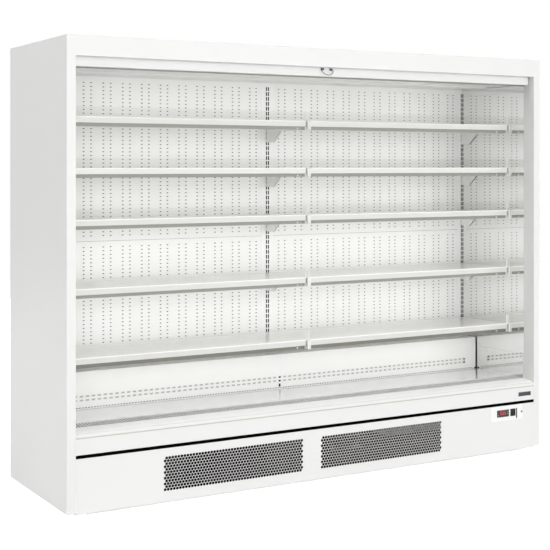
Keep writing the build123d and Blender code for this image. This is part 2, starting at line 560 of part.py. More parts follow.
# Wire handle: a half-round bail whose ends turn in and sit in the lugs. It rests swung out from the rail.
BAIL_RADIUS = 32
BAIL_STEP = 20                  # degrees of the half round to each flat
BAIL_SWING = 33                 # degrees out from hanging
with BuildPart() as blind_handle:
    left_x, right_x = HANDLE_MID - HANDLE_REACH, HANDLE_MID + HANDLE_REACH
    half_round = [(HANDLE_MID - BAIL_RADIUS * cos(radians(a)), HANDLE_Z - BAIL_RADIUS * sin(radians(a)))
                  for a in range(0, 181, BAIL_STEP)]
    with BuildLine(Plane.XZ.offset(-HANDLE_Y)) as bail_path:
        Polyline((left_x + 3, HANDLE_Z), *half_round, (right_x - 3, HANDLE_Z))
    with BuildSketch(Plane.YZ.offset(left_x + 3)):
        with Locations((HANDLE_Y, HANDLE_Z)):
            RegularPolygon(WIRE_RADIUS, 6)
    sweep(path=bail_path.wires()[0], transition=Transition.RIGHT)
swung_out = blind_handle.part.rotate(Axis((0, HANDLE_Y, HANDLE_Z), (1, 0, 0)), -BAIL_SWING)
save(swung_out, "blind_handle")

# ---------------------------------------------------------------- fans and coils
FAN_BLADES = 5


def axial_fan(middle, hub_radius, tip_radius, depth):
    """Bladed rotor about Y: a ten-sided hub with blades that widen to the tip, set at an angle to its plane."""
    blade_pitch = radians(32)
    root_radius = hub_radius - 4
    blade_half = (tip_radius - root_radius) / 2
    root_chord, tip_chord = depth * 0.5, depth * 2
    with BuildPart() as fan:
        with BuildSketch(Plane(middle, x_dir=(1, 0, 0), z_dir=(0, -1, 0)).offset(-depth / 2)):
            RegularPolygon(hub_radius, 2 * FAN_BLADES, rotation=18)
        extrude(amount=depth)
        for blade in range(FAN_BLADES):
            turn = radians(360 / FAN_BLADES * blade)
            radial = Vector(cos(turn), 0, sin(turn))
            tangent = Vector(-sin(turn), 0, cos(turn))
            normal = tangent * sin(blade_pitch) + Vector(0, cos(blade_pitch), 0)
            blade_mid = Vector(*middle) + radial * (root_radius + blade_half)
            with BuildSketch(Plane(blade_mid, x_dir=radial, z_dir=normal)):
                Polygon((-blade_half, -root_chord / 2), (blade_half, -tip_chord / 2),
                        (blade_half, tip_chord / 2), (-blade_half, root_chord / 2))
            extrude(amount=0.8, both=True)
    return fan.part


def coil_block(low, high, cells):
    """Fin block: upright plates in a frame, open along Y."""
    wide, deep, tall = [b - a for a, b in zip(low, high)]
    pitch = wide / cells
    with BuildSketch(Plane.XZ.offset(-low[1])) as fins:
        with Locations(((low[0] + high[0]) / 2, (low[2] + high[2]) / 2)):
            Rectangle(wide, tall)
            with GridLocations(pitch, 1, cells, 1):
                Rectangle(pitch - 1.5, tall - 6, mode=Mode.SUBTRACT)
    extrude(fins.sketch, amount=-deep)


MOTOR_WIDE = 52
MOTOR_STRAP = 14                # width of the strap across the opening that carries a motor
STRAP_THICK = 3


def motor_plate(plate_low, plate_high, holes, hole_radius, strap_y, motor_long):
    """Sheet with a round opening for each fan, and a square motor on an upright strap behind it."""
    box_between(plate_low, plate_high)
    with BuildSketch(Plane.XZ.offset(-plate_low[1])) as openings:
        with Locations(*holes):
            Circle(hole_radius)
    extrude(openings.sketch, amount=-(plate_high[1] - plate_low[1]), mode=Mode.SUBTRACT)
    strap_half = hole_radius + 13
    for hole_x, hole_z in holes:
        box_between((hole_x - MOTOR_STRAP / 2, plate_high[1], hole_z - strap_half),
                    (hole_x + MOTOR_STRAP / 2, strap_y + STRAP_THICK, hole_z + strap_half))
        box_between((hole_x - MOTOR_STRAP / 2, plate_high[1], hole_z - strap_half + STRAP_THICK),
                    (hole_x + MOTOR_STRAP / 2, strap_y, hole_z + strap_half - STRAP_THICK), mode=Mode.SUBTRACT)
        box_between((hole_x - MOTOR_WIDE / 2, strap_y, hole_z - MOTOR_WIDE / 2),
                    (hole_x + MOTOR_WIDE / 2, strap_y + motor_long, hole_z + MOTOR_WIDE / 2))


# ---------------------------------------------------------------- cooling unit under the tank
FAN_DEPTH = 20
FAN_HUB = 22
CONDENSER_FRONT, CONDENSER_BACK = -287, -227
CONDENSER_FAN_Y = CONDENSER_BACK + 18
CONDENSER_FAN_RADIUS = 78
MACHINE_FLOOR = RAIL_TOP + 2
condenser_low = (CONDENSER_X - CONDENSER_WIDE / 2, CONDENSER_FRONT, MACHINE_FLOOR)
condenser_high = (CONDENSER_X + CONDENSER_WIDE / 2, CONDENSER_BACK, TANK_BOTTOM - 8)

with BuildPart() as condenser:
    coil_block(condenser_low, condenser_high, 14)
    motor_plate((condenser_low[0], CONDENSER_BACK, MACHINE_FLOOR),
                (condenser_high[0], CONDENSER_BACK + 2, TANK_BOTTOM - 8),
                ((CONDENSER_X, CONDENSER_Z),), CONDENSER_FAN_RADIUS - 6,
                CONDENSER_FAN_Y + FAN_DEPTH / 2 + 6, 46)
save(condenser.part, "condenser")
save(axial_fan((CONDENSER_X, CONDENSER_FAN_Y, CONDENSER_Z), FAN_HUB, CONDENSER_FAN_RADIUS, FAN_DEPTH),
     "condenser_fan")

# Hermetic compressor: a welded can on a foot plate, with a terminal cover at its side.
CAN_SIDES = 24
CAN_LOW, CAN_HIGH = 66, 234
CAN_SHOULDER = 26
with BuildPart() as compressor:
    with BuildSketch(Plane.XY.offset(CAN_LOW)):
        with Locations((COMPRESSOR_X, COMPRESSOR_Y)):
            RegularPolygon(COMPRESSOR_RADIUS, CAN_SIDES)
    extrude(amount=CAN_HIGH - CAN_LOW)
    chamfer(compressor.faces().sort_by(Axis.Z)[-1].edges(), length=CAN_SHOULDER)
    chamfer(compressor.faces().sort_by(Axis.Z)[0].edges(), length=CAN_SHOULDER)
    box_between((COMPRESSOR_X - 95, COMPRESSOR_Y - 80, MACHINE_FLOOR),
                (COMPRESSOR_X + 95, COMPRESSOR_Y + 80, MACHINE_FLOOR + 4))
    box_between((COMPRESSOR_X - 25, COMPRESSOR_Y - COMPRESSOR_RADIUS - 16, 120),
                (COMPRESSOR_X + 25, COMPRESSOR_Y - COMPRESSOR_RADIUS + 8, 180))
save(compressor.part, "compressor")

PAN_LOW, PAN_HIGH = (600, 40, MACHINE_FLOOR), (960, 215, MACHINE_FLOOR + 50)
with BuildPart() as drain_pan:
    box_between(PAN_LOW, PAN_HIGH)
    box_between((PAN_LOW[0] + 2, PAN_LOW[1] + 2, PAN_LOW[2] + 2),
                (PAN_HIGH[0] - 2, PAN_HIGH[1] - 2, PAN_HIGH[2]), mode=Mode.SUBTRACT)
save(drain_pan.part, "drain_pan")

# ---------------------------------------------------------------- evaporator behind its covers
COIL_LOW = (-EVAPORATOR_HALF, 195, 305)
COIL_HIGH = (EVAPORATOR_HALF, 285, 490)
with BuildPart() as evaporator_coil:
    coil_block(COIL_LOW, COIL_HIGH, 24)
    for foot_x in (COIL_LOW[0] + 1.5, COIL_HIGH[0] - 31.5):
        box_between((foot_x, COIL_LOW[1], TANK_FLOOR), (foot_x + 30, COIL_HIGH[1], COIL_LOW[2]))
save(evaporator_coil.part, "evaporator_coil")

FAN_PLATE_Y = 128
EVAPORATOR_FAN_RADIUS = 78
EVAPORATOR_FAN_Y = FAN_PLATE_Y + 17
with BuildPart() as evaporator_fan_plate:
    motor_plate((-1100, FAN_PLATE_Y, TANK_FLOOR), (1100, FAN_PLATE_Y + 2, COVER_TOP - 4),
                [(x, EVAPORATOR_FAN_Z) for x in EVAPORATOR_FANS], EVAPORATOR_FAN_RADIUS - 4,
                EVAPORATOR_FAN_Y + FAN_DEPTH / 2 + 4, 28)
save(evaporator_fan_plate.part, "evaporator_fan_plate")

for side_name, fan_x in zip(("left", "right"), EVAPORATOR_FANS):
    save(axial_fan((fan_x, EVAPORATOR_FAN_Y, EVAPORATOR_FAN_Z), FAN_HUB, EVAPORATOR_FAN_RADIUS, FAN_DEPTH),
         f"evaporator_fan_{side_name}")

# ---------------------------------------------------------------- refrigerant pipes
PIPE_RADIUS = 6
PIPE_BEND = 24
SUCTION_X, LIQUID_X = [x for x, y in PIPE_RISERS]
SUCTION_Y, LIQUID_Y = [y for x, y in PIPE_RISERS]
can_right = COMPRESSOR_X + COMPRESSOR_RADIUS + FIT_GAP
can_left = COMPRESSOR_X - COMPRESSOR_RADIUS - FIT_GAP
coil_end = EVAPORATOR_HALF + FIT_GAP
condenser_end = CONDENSER_X + CONDENSER_WIDE / 2 + FIT_GAP
bend_y = (CONDENSER_FRONT + CONDENSER_BACK) / 2
PIPE_ROUTES = (
    ((can_right, COMPRESSOR_Y, 150), (420, COMPRESSOR_Y, 150), (420, SUCTION_Y, 150),
     (SUCTION_X, SUCTION_Y, 150), (SUCTION_X, SUCTION_Y, 470), (coil_end, SUCTION_Y, 470)),
    ((can_left, COMPRESSOR_Y, 170), (60, COMPRESSOR_Y, 170), (60, bend_y + 20, 170),
     (condenser_end, bend_y + 20, 170)),
    ((condenser_end, bend_y + 20, 90), (120, bend_y + 20, 90), (LIQUID_X, bend_y + 20, 90),
     (LIQUID_X, LIQUID_Y, 90), (LIQUID_X, LIQUID_Y, 330), (coil_end, LIQUID_Y, 330)),
)


def without_straight_points(route):
    """Drop points in the middle of a straight run, which have no bend."""
    kept = [route[0]]
    for before, here, after in zip(route, route[1:], route[2:]):
        turn = (Vector(*here) - Vector(*before)).cross(Vector(*after) - Vector(*here))
        if turn.length > 1:
            kept.append(here)
    return kept + [route[-1]]


with BuildPart() as refrigerant_pipes:
    for route in PIPE_ROUTES:
        with BuildLine() as pipe_path:
            FilletPolyline(*without_straight_points(route), radius=PIPE_BEND)
        start = pipe_path.wires()[0]
        with BuildSketch(Plane(start @ 0, z_dir=start % 0)):
            RegularPolygon(PIPE_RADIUS, 6)
        sweep(path=start)
save(refrigerant_pipes.part, "refrigerant_pipes")
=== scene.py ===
import math

import bmesh
import bpy
import numpy as np
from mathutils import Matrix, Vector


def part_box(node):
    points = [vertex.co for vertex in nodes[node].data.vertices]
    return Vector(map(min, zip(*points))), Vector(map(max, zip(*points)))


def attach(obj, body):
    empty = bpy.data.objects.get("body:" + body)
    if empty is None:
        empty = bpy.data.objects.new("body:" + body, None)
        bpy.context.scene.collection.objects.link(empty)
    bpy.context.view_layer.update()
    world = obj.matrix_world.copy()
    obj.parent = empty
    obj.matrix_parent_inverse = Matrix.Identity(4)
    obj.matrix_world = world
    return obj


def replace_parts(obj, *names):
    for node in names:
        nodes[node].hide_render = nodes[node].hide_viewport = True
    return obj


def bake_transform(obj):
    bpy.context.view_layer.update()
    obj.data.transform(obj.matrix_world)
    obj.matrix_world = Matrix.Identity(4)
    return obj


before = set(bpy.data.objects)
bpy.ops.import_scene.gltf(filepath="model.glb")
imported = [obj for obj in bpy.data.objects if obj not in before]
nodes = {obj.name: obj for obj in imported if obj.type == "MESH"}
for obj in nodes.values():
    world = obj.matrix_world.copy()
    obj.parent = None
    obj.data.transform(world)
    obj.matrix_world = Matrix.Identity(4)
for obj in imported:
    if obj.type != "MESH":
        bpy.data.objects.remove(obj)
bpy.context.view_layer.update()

# ---------------------------------------------------------------- viewpoint
# The camera is level and stands before the left part of the case. Its place, heading and focal length
# were fitted to the straight edges of the case, in a square frame of 550 pixels.
FRAME_PIXELS = 550
FOCAL_PIXELS = 1241.42
HORIZON_POINT = (277.47, 165.49)     # pixel that the lens looks at squarely
HEADING = math.radians(30.14)        # from the depth of the case towards its right end

viewpoint = bpy.data.objects.new("viewpoint", bpy.data.cameras.new("viewpoint"))
viewpoint.location = (-3.05506, -5.14913, 1.43664)
viewpoint.rotation_euler = (math.radians(90), 0, -HEADING)
viewpoint.data.sensor_width = 36
viewpoint.data.lens = 36 * FOCAL_PIXELS / FRAME_PIXELS
viewpoint.data.shift_x = (FRAME_PIXELS / 2 - HORIZON_POINT[0]) / FRAME_PIXELS
viewpoint.data.shift_y = (HORIZON_POINT[1] - FRAME_PIXELS / 2) / FRAME_PIXELS
viewpoint.data.clip_end = 80
bpy.context.scene.collection.objects.link(viewpoint)
bpy.context.scene.camera = viewpoint

# ---------------------------------------------------------------- studio
# A pale floor in a white room, with soft lamps on all four sides. The two wide ones before the case
# reach the back of the open shelves, and a high one lights the deck and the sill.
ROOM_LEVEL = 0.05
bpy.context.scene.view_settings.view_transform = "Standard"


def linear(code):
    """Linear red, green, blue and alpha of a screen colour such as F4F4F3."""
    screen = np.array([int(code[k:k + 2], 16) for k in (0, 2, 4)]) / 255
    return (*np.where(screen <= 0.04045, screen / 12.92, ((screen + 0.055) / 1.055) ** 2.4), 1.0)


def shaded(colour, share, lift=0.0):
    """A colour times a share, plus a little of white."""
    return tuple(share * part + lift for part in colour[:3]) + (1.0,)


class Tone:
    """A value in a finish. Arithmetic on it adds Math nodes to the finish's tree."""

    def __init__(self, tree, socket):
        self.tree, self.socket = tree, socket

    def maths(self, operation, *others):
        step = self.tree.nodes.new("ShaderNodeMath")
        step.operation = operation
        for slot, value in zip(step.inputs, (self, *others)):
            if isinstance(value, Tone):
                self.tree.links.new(value.socket, slot)
            else:
                slot.default_value = value
        return Tone(self.tree, step.outputs[0])

    def __add__(self, other):
        return self.maths("ADD", other)

    def __mul__(self, other):
        return self.maths("MULTIPLY", other)

    def __sub__(self, other):
        return self.maths("SUBTRACT", other)

    def __rsub__(self, other):
        return self * -1 + other

    def __gt__(self, other):
        return self.maths("GREATER_THAN", other)

    def __lt__(self, other):
        return self.maths("LESS_THAN", other)

    def __abs__(self):
        return self.maths("ABSOLUTE")


class Finish:
    """A surface finish under way: one node tree and the shader it ends in."""

    def __init__(self, name, tree=None):
        if tree is None:
            self.material = bpy.data.materials.new(name)
            self.material.use_nodes = True
            tree = self.material.node_tree
        self.tree = tree
        tree.nodes.clear()

    def node(self, kind, settings=(), sockets=(), out=0):
        """Any node but a Math node: its settings go on first, then its sockets' values or links."""
        made = self.tree.nodes.new("ShaderNode" + kind)
        for name, value in dict(settings).items():
            setattr(made, name, value)
        for name, value in dict(sockets).items():
            if isinstance(value, Tone):
                self.tree.links.new(value.socket, made.inputs[name])
            else:
                made.inputs[name].default_value = value
        return Tone(self.tree, made.outputs[out]) if len(made.outputs) else None

    def place(self, stretch=(1, 1, 1)):
        """Object coordinates in metres, multiplied along each axis."""
        spot = self.node("TexCoord", out="Object")
        if stretch == (1, 1, 1):
            return spot
        return self.node("Mapping", sockets={"Vector": spot, "Scale": stretch})

    def along(self, axis):
        """One object coordinate in metres."""
        return self.node("SeparateXYZ", sockets={0: self.place()}, out=axis)

    def noise(self, scale, detail, stretch=(1, 1, 1)):
        return self.node("TexNoise", sockets={"Vector": self.place(stretch), "Scale": scale, "Detail": detail})

    def between(self, mask, low, high):
        """Colour from low to high as mask goes from 0 to 1."""
        return self.node("Mix", {"data_type": "RGBA"}, {0: mask, 6: low, 7: high}, out=2)

    def bump(self, height, distance, strength):
        return self.node("Bump", sockets={"Height": height, "Distance": distance, "Strength": strength})

    def orange_peel(self, depth=0.00012, strength=0.6):
        """Ripple of a sprayed coat, 2 mm wide."""
        return self.bump(self.noise(520.0, 2.0), depth, strength)

    def looked_at(self):
        """1 for a ray that comes straight from the camera, off a mirror or through glass, 0 for others."""
        straight, mirrored, through = (self.node("LightPath", out=f"Is {way} Ray")
                                       for way in ("Camera", "Glossy", "Transmission"))
        return straight.maths("MAXIMUM", mirrored.maths("MAXIMUM", through))

    def end(self, shader, kind="Material"):
        self.node("Output" + kind, sockets={"Surface": shader})
        return getattr(self, "material", None)

    def principled(self, sockets):
        """Ends the tree in a Principled shader with these sockets."""
        return self.end(self.node("BsdfPrincipled", sockets=sockets))


room = bpy.data.worlds.new("white room")
room.use_nodes = True
bpy.context.scene.world = room
seen = Finish("room", room.node_tree)
level = seen.looked_at() * (1 - ROOM_LEVEL) + ROOM_LEVEL
seen.end(seen.node("Background", sockets={"Color": (1, 1, 1, 1), "Strength": level}), "World")

FLOOR_HALF, FLOOR_Z = 10, -0.0004    # a hair under the skids
FLOOR_GLOW = 0.9                     # lifts what the camera sees of the floor to white, outside the shadow
pale = Finish("studio_floor")
matte = pale.node("BsdfDiffuse", sockets={"Color": (0.98, 0.98, 0.98, 1)})
glow = pale.node("Emission", sockets={"Color": (1, 1, 1, 1), "Strength": FLOOR_GLOW})
lit = pale.node("AddShader", sockets={0: matte, 1: glow})
pale_floor = pale.end(pale.node("MixShader", sockets={0: pale.looked_at(), 1: matte, 2: lit}))

floor_mesh = bpy.data.meshes.new("studio_floor")
floor_mesh.from_pydata([(x * FLOOR_HALF, y * FLOOR_HALF, FLOOR_Z) for x, y in ((-1, -1), (1, -1), (1, 1), (-1, 1))],
                       [], [(0, 1, 2, 3)])
floor_mesh.materials.append(pale_floor)
studio_floor = bpy.data.objects.new("studio_floor", floor_mesh)
bpy.context.scene.collection.objects.link(studio_floor)


def soft_lamp(name, place, aim, wide, tall, power):
    """Area lamp at a place, turned to face a point. Neither the camera nor a reflection shows it."""
    lamp = bpy.data.objects.new(name, bpy.data.lights.new(name, "AREA"))
    lamp.data.shape = "RECTANGLE"
    lamp.data.size, lamp.data.size_y = wide, tall
    lamp.data.energy = power
    lamp.visible_camera = lamp.visible_glossy = lamp.visible_transmission = False
    lamp.location = place
    away = np.subtract(place, aim)
    lamp.rotation_euler = (math.acos(away[2] / np.linalg.norm(away)), 0, math.atan2(away[0], -away[1]))
    bpy.context.scene.collection.objects.link(lamp)


soft_lamp("front_lamp", (0.1, -7.5, 1.75), (0.1, 0, 1.0), 12.0, 3.4, 424)
soft_lamp("raised_lamp", (0.2, -6.5, 4.4), (0, -0.3, 0.8), 9.0, 2.5, 72)
soft_lamp("high_lamp", (0.2, -2.6, 7.5), (0, -0.3, 0.35), 9.0, 2.5, 230)
soft_lamp("left_lamp", (-8.0, -0.8, 5.0), (-1.26, 0, 2.3), 4.0, 4.0, 292)
soft_lamp("right_lamp", (8.0, 1.5, 2.6), (1.26, 0, 1.4), 4.0, 4.0, 225)
soft_lamp("back_lamp", (0, 7.5, 2.6), (0, 0.36, 1.0), 6.0, 3.4, 300)

# ---------------------------------------------------------------- tank, pan, fan plate and blind brackets
# Hot-dip galvanised sheet: the skin of the foamed tank, the melt-water pan, the plate that carries the
# evaporator's fans, and the blind's brackets. The zinc shows as dull crystals of several greys.
def galvanised_sheet(name):
    """Zinc spangle: each crystal has its own grey and its own gloss, and the crystals differ in size."""
    zinc = Finish(name)
    crystal = zinc.node("TexVoronoi", sockets={"Vector": zinc.place(), "Scale": 70.0}, out="Color")
    grey = zinc.node("SeparateColor", sockets={"Color": crystal}, out="Red")
    cloud = zinc.noise(9.0, 4.0)
    return zinc.principled({
        "Base Color": zinc.between(grey * 0.6 + cloud * 0.4, linear("7D8082"), linear("B9BCBD")), "Metallic": 0.85,
        "Roughness": grey * 0.2 + 0.34, "Normal": zinc.bump(grey * 0.4 + cloud, 0.0002, 0.5)})


def dress(finish, *names):
    """Gives a finish to whole solids of the frame."""
    for name in names:
        nodes[name].data.materials.clear()
        nodes[name].data.materials.append(finish)


dress(galvanised_sheet("galvanised_sheet"), "insulated_tank", "blind_brackets", "drain_pan", "evaporator_fan_plate")


# ---------------------------------------------------------------- insulated shell
# End panels, rear wall and roof: foamed sandwiches in white powder-coated steel. The coat is satin,
# with the faint ripple of orange peel, and its gloss varies where hands and mops have rubbed it.
def powder_coat(name, colour, roughness):
    """Colour drifts by about one percent over a metre, over a fine grain."""
    coat = Finish(name)
    drift = coat.noise(1.6, 3.0)
    speck = coat.noise(240.0, 1.0)
    return coat.principled({
        "Base Color": coat.between(drift * 0.7 + speck * 0.3, colour, shaded(colour, 0.965)),
        "Roughness": drift * 0.12 + (roughness - 0.06), "Normal": coat.orange_peel()})


OUTER = linear("DBDBDA")
outer_white = powder_coat("outer_white", OUTER, 0.38)
dress(outer_white, "end_panel_left", "end_panel_right")


SEAM_X, SEAM_HALF = 0.4216, 0.0006
RIVET_ASIDE, RIVET_PITCH, RIVET_RADIUS = 0.011, 0.14, 0.0035


def riveted_coat(name, colour):
    """The same coat on three sheets side by side. Both seams are fine dark lines between two rows of
    rivet heads: a head is where the distance to the seam and the place along it form a small circle. A dark ring at the
    edge of each head is painted shade where the head meets the sheet."""
    coat = Finish(name)
    aside = abs(abs(coat.along("X")) - SEAM_X)
    along = abs(((coat.along("Y") + coat.along("Z")) * (1 / RIVET_PITCH)).maths("FRACT") - 0.5) * RIVET_PITCH
    from_head = ((aside - RIVET_ASIDE).maths("POWER", 2) + along.maths("POWER", 2)).maths("SQRT")
    head = from_head < RIVET_RADIUS
    # dark ring round the edge of each head: painted shade
    rim = head * (from_head > RIVET_RADIUS * 0.75)
    seam = aside < SEAM_HALF
    drift = coat.noise(1.6, 3.0)
    return coat.principled({
        "Base Color": coat.between(drift * 0.05 + rim * 0.4 + seam * 0.9, colour, shaded(colour, 0.45)),
        "Roughness": drift * 0.12 + 0.34,
        "Normal": coat.bump(head - seam + coat.noise(520.0, 2.0) * 0.15, 0.0009, 0.7)})


dress(riveted_coat("riveted_coat", OUTER), "rear_wall", "roof_panel")

# ---------------------------------------------------------------- base frame
# Skid rails, posts, machine floor and rear apron, welded up. The feet of the rails are pale, painted light on
# the strip seen under the kick panel. All above them is dull black, painted shade so that nothing of the machine room
# shows through the kick panel's holes.
PALE_TOP = 0.014
DULL = 0.03                          # specular level of the blacks that lie in the dark


def frame_light_and_shade(name, pale, black):
    """Pale below one height and dull black above it: painted light on the feet, painted shade on the rest."""
    coat = Finish(name)
    return coat.principled({
        "Base Color": coat.between(coat.along("Z") > PALE_TOP, pale, black), "Specular IOR Level": DULL,
        "Roughness": coat.noise(3.0, 3.0) * 0.15 + 0.5, "Normal": coat.orange_peel()})


dress(frame_light_and_shade("frame_painted_light_and_shade", linear("F4F4F2"), linear("050505")), "base_frame")

# ---------------------------------------------------------------- fascias
# Canopy fascia and front fascia, folded from one white coated sheet each. They are bent over a small
# radius and hooked over the tank and roof, so no fixing shows on the front.
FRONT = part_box("kick_panel")[0].y
SHEET = 0.0015
BEND = 0.0022                        # outer radius of a bend


def rounded_line(corners, radius, steps=5):
    """Line whose inner corners are arcs. An arc leaves each corner at radius times tan(half the turn)."""
    corners = np.array(corners, float)
    line = [corners[:1]]
    for before, corner, after in zip(corners, corners[1:], corners[2:]):
        coming = (corner - before) / np.linalg.norm(corner - before)
        going = (after - corner) / np.linalg.norm(after - corner)
        turn = math.acos(np.clip(coming @ going, -1, 1))
        aside = going - coming * (coming @ going)
        aside /= np.linalg.norm(aside)
        part = np.linspace(0, turn, steps + 1)[:, None]
        start = corner - coming * radius * math.tan(turn / 2)
        line.append(start + coming * radius * np.sin(part) + aside * radius * (1 - np.cos(part)))
    return np.concatenate(line + [corners[-1:]])


def add_piece(name, points, faces, finish, slot, body="cabinet", smooth=False, merge=1e-6):
    """Mesh object of the given points and faces, its doubled points merged, on one of the moving bodies."""
    mesh = bpy.data.meshes.new(name)
    mesh.from_pydata(np.asarray(points).tolist(), [], np.asarray(faces).tolist())
    mesh.materials.append(finish)
    if merge:
        welded = bmesh.new()
        welded.from_mesh(mesh)
        bmesh.ops.remove_doubles(welded, verts=welded.verts, dist=merge)
        welded.to_mesh(mesh)
        welded.free()
    mesh.polygons.foreach_set("use_smooth", np.full(len(mesh.polygons), smooth))
    piece = bpy.data.objects.new(name, mesh)
    bpy.context.scene.collection.objects.link(piece)
    if body:
        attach(piece, body)
    return piece


def thicken(piece, thickness):
    """Gives a sheet its thickness behind its face."""
    wall = piece.modifiers.new("thickness", "SOLIDIFY")
    wall.thickness = thickness
    wall.offset = -1
    wall.use_even_offset = True
    return piece


def run_along_x(profile, low_x, high_x):
    """Faces of a profile of (y, z) points carried straight from low_x to high_x."""
    profile = np.asarray(profile, float)
    count = len(profile)
    points = np.concatenate([np.column_stack([np.full(count, x), profile]) for x in (low_x, high_x)])
    step = np.arange(count - 1)
    return points, np.stack([step, step + count, step + count + 1, step + 1], 1)


CANOPY_LIP = -0.338                  # where the canopy's lower flange ends
for node, flange_end in (("canopy_fascia", CANOPY_LIP), ("front_fascia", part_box("front_fascia")[1].y)):
    low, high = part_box(node)
    corners = [(flange_end, low.z), (FRONT, low.z), (FRONT, high.z), (high.y, high.z)]
    folded = add_piece(f"{node}_sheet", *run_along_x(rounded_line(corners, BEND), low.x, high.x), outer_white,
                       "white_steel")
    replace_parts(thicken(folded, SHEET), node)


# ---------------------------------------------------------------- bumper rail
# Hollow plastic extrusion pushed over the tank's upstand, off-white and satin, with three grooves run
# in its top. Extrusion leaves fine lines along its whole length.
def drawn_plastic(name, colour, roughness):
    """Lines along X: noise stretched three hundred times finer across than along."""
    plastic = Finish(name)
    lines = plastic.noise(3.0, 3.0, (0.6, 180, 180))
    return plastic.principled({
        "Base Color": plastic.between(lines * 0.5 + plastic.noise(5.0, 2.0) * 0.5, colour, shaded(colour, 0.95)),
        "Roughness": lines * 0.14 + (roughness - 0.07), "Normal": plastic.bump(lines, 0.0001, 0.5)})


NOSE_TOP = 0.3395                    # where the nose rolls over into the top


def bumper_coat(name, lit_top_colour, shaded_nose_colour):
    """Drawn lines like other extrusions. The top is a lighter white than the nose: painted light on the top and painted
    shade on the nose.
    """
    plastic = Finish(name)
    lines = plastic.noise(3.0, 3.0, (0.6, 180, 180))
    return plastic.principled({
        "Base Color": plastic.between(plastic.along("Z") > NOSE_TOP, shaded_nose_colour, lit_top_colour),
        "Roughness": lines * 0.14 + 0.29, "Normal": plastic.bump(lines, 0.0001, 0.5)})


dress(bumper_coat("bumper_white", linear("FBFBF9"), linear("DADAD8")), "bumper_rail")

# softer grey lip along its lower edge, drawn together with it, which closes the joint with the fascia
low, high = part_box("bumper_rail")
lip_low, lip_high = low.z - 0.0026, low.z + 0.0022
lip_back, lip_front = FRONT + 0.0005, FRONT - 0.0008
lip_profile = rounded_line([(lip_back, lip_low), (lip_front, lip_low), (lip_front, lip_high), (lip_back, lip_high)],
                           0.0006, 3)
thicken(add_piece("bumper_lip", *run_along_x(lip_profile, low.x, high.x),
                  drawn_plastic("lip_grey", linear("B9B9AE"), 0.5), "bumper_plastic"), 0.0004)

# ---------------------------------------------------------------- kick panel
# White coated sheet that covers the machine room, with two windows of staggered round holes punched
# through it for the cooling air, and square cut-outs for the controller and the switches.
INTAKES = ((-0.835, -0.1395), (-0.050, 0.642))
INTAKE_LOW, INTAKE_HIGH = 0.055, 0.205
INTAKE_COUNT, INTAKE_ROWS = 48, 12
INTAKE_RADIUS = 0.0067
INTAKE_MARGIN = 0.002
KICK_SHEET = 0.0007


def holed_cells(centres, cell, hole, sides=12, power=2.0):
    """Cells of sheet, each with a hole. A cell is a ring of four-sided faces between its rectangle and the
    outline |u/a|^p + |v/b|^p = 1 met in the same directions: p is 1 for a diamond, 2 for a circle, 8 for
    a slot with rounded corners."""
    run = np.linspace(-1, 1, sides // 4, endpoint=False)
    one = np.ones_like(run)
    border = np.concatenate([np.column_stack(pair) for pair in ((run, -one), (one, run), (-run, one), (-one, -run))])
    border = border * np.asarray(cell)
    heading = border / np.linalg.norm(border, axis=1, keepdims=True)
    reach = ((np.abs(heading) / np.asarray(hole)) ** power).sum(1) ** (-1 / power)
    rings = np.stack([border, heading * reach[:, None]])
    points = np.asarray(centres)[:, None, None, :] + rings[None]
    index = np.arange(points.size // 2).reshape(len(points), 2, -1)
    faces = np.stack([index[:, 0], np.roll(index[:, 0], -1, 1), np.roll(index[:, 1], -1, 1), index[:, 1]], -1)
    return points.reshape(-1, 2), faces.reshape(-1, 4)


def plain_patches(rectangles):
    """Flat four-sided faces, one for each (low u, low v, high u, high v)."""
    points = np.asarray(rectangles, float)[:, [[0, 1], [2, 1], [2, 3], [0, 3]]].reshape(-1, 2)
    return points, np.arange(len(points)).reshape(-1, 4)


def gather(*parts):
    """Joins pairs of points and faces into one pair."""
    starts = np.cumsum([0] + [len(points) for points, faces in parts[:-1]])
    return (np.concatenate([points for points, faces in parts]),
            np.concatenate([faces + start for start, (points, faces) in zip(starts, parts)]))


def upright(flat, y):
    """Lays a flat part of (x, z) points in the plane at y, facing the front."""
    points, faces = flat
    return np.column_stack([points[:, 0], np.full(len(points), y), points[:, 1]]), faces


def around(outer, windows):
    """Rectangles that fill outer but leave out windows, which lie side by side along u."""
    low_u, low_v, high_u, high_v = outer
    filled, start = [], low_u
    for a, b, c, d in sorted(windows):
        filled += [(start, low_v, a, high_v), (a, low_v, c, b), (a, d, c, high_v)]
        start = c
    return filled + [(start, low_v, high_u, high_v)]


def staggered(low_u, high_u, low_v, high_v, columns, rows):
    """Centres of a lattice whose odd rows are moved by half a cell, and the strips left at its two ends."""
    wide, tall = (high_u - low_u) / (columns + 0.5), (high_v - low_v) / rows
    row = np.arange(rows)
    us = low_u + wide * (0.5 + np.arange(columns)[None] + 0.5 * (row % 2)[:, None])
    vs = np.repeat(low_v + tall * (row + 0.5), columns)
    ends = [(low_u, v, low_u + wide / 2, v + tall) if odd else (high_u - wide / 2, v, high_u, v + tall)
            for v, odd in zip(low_v + tall * row, row % 2)]
    return np.column_stack([us.ravel(), vs]), (wide / 2, tall / 2), ends


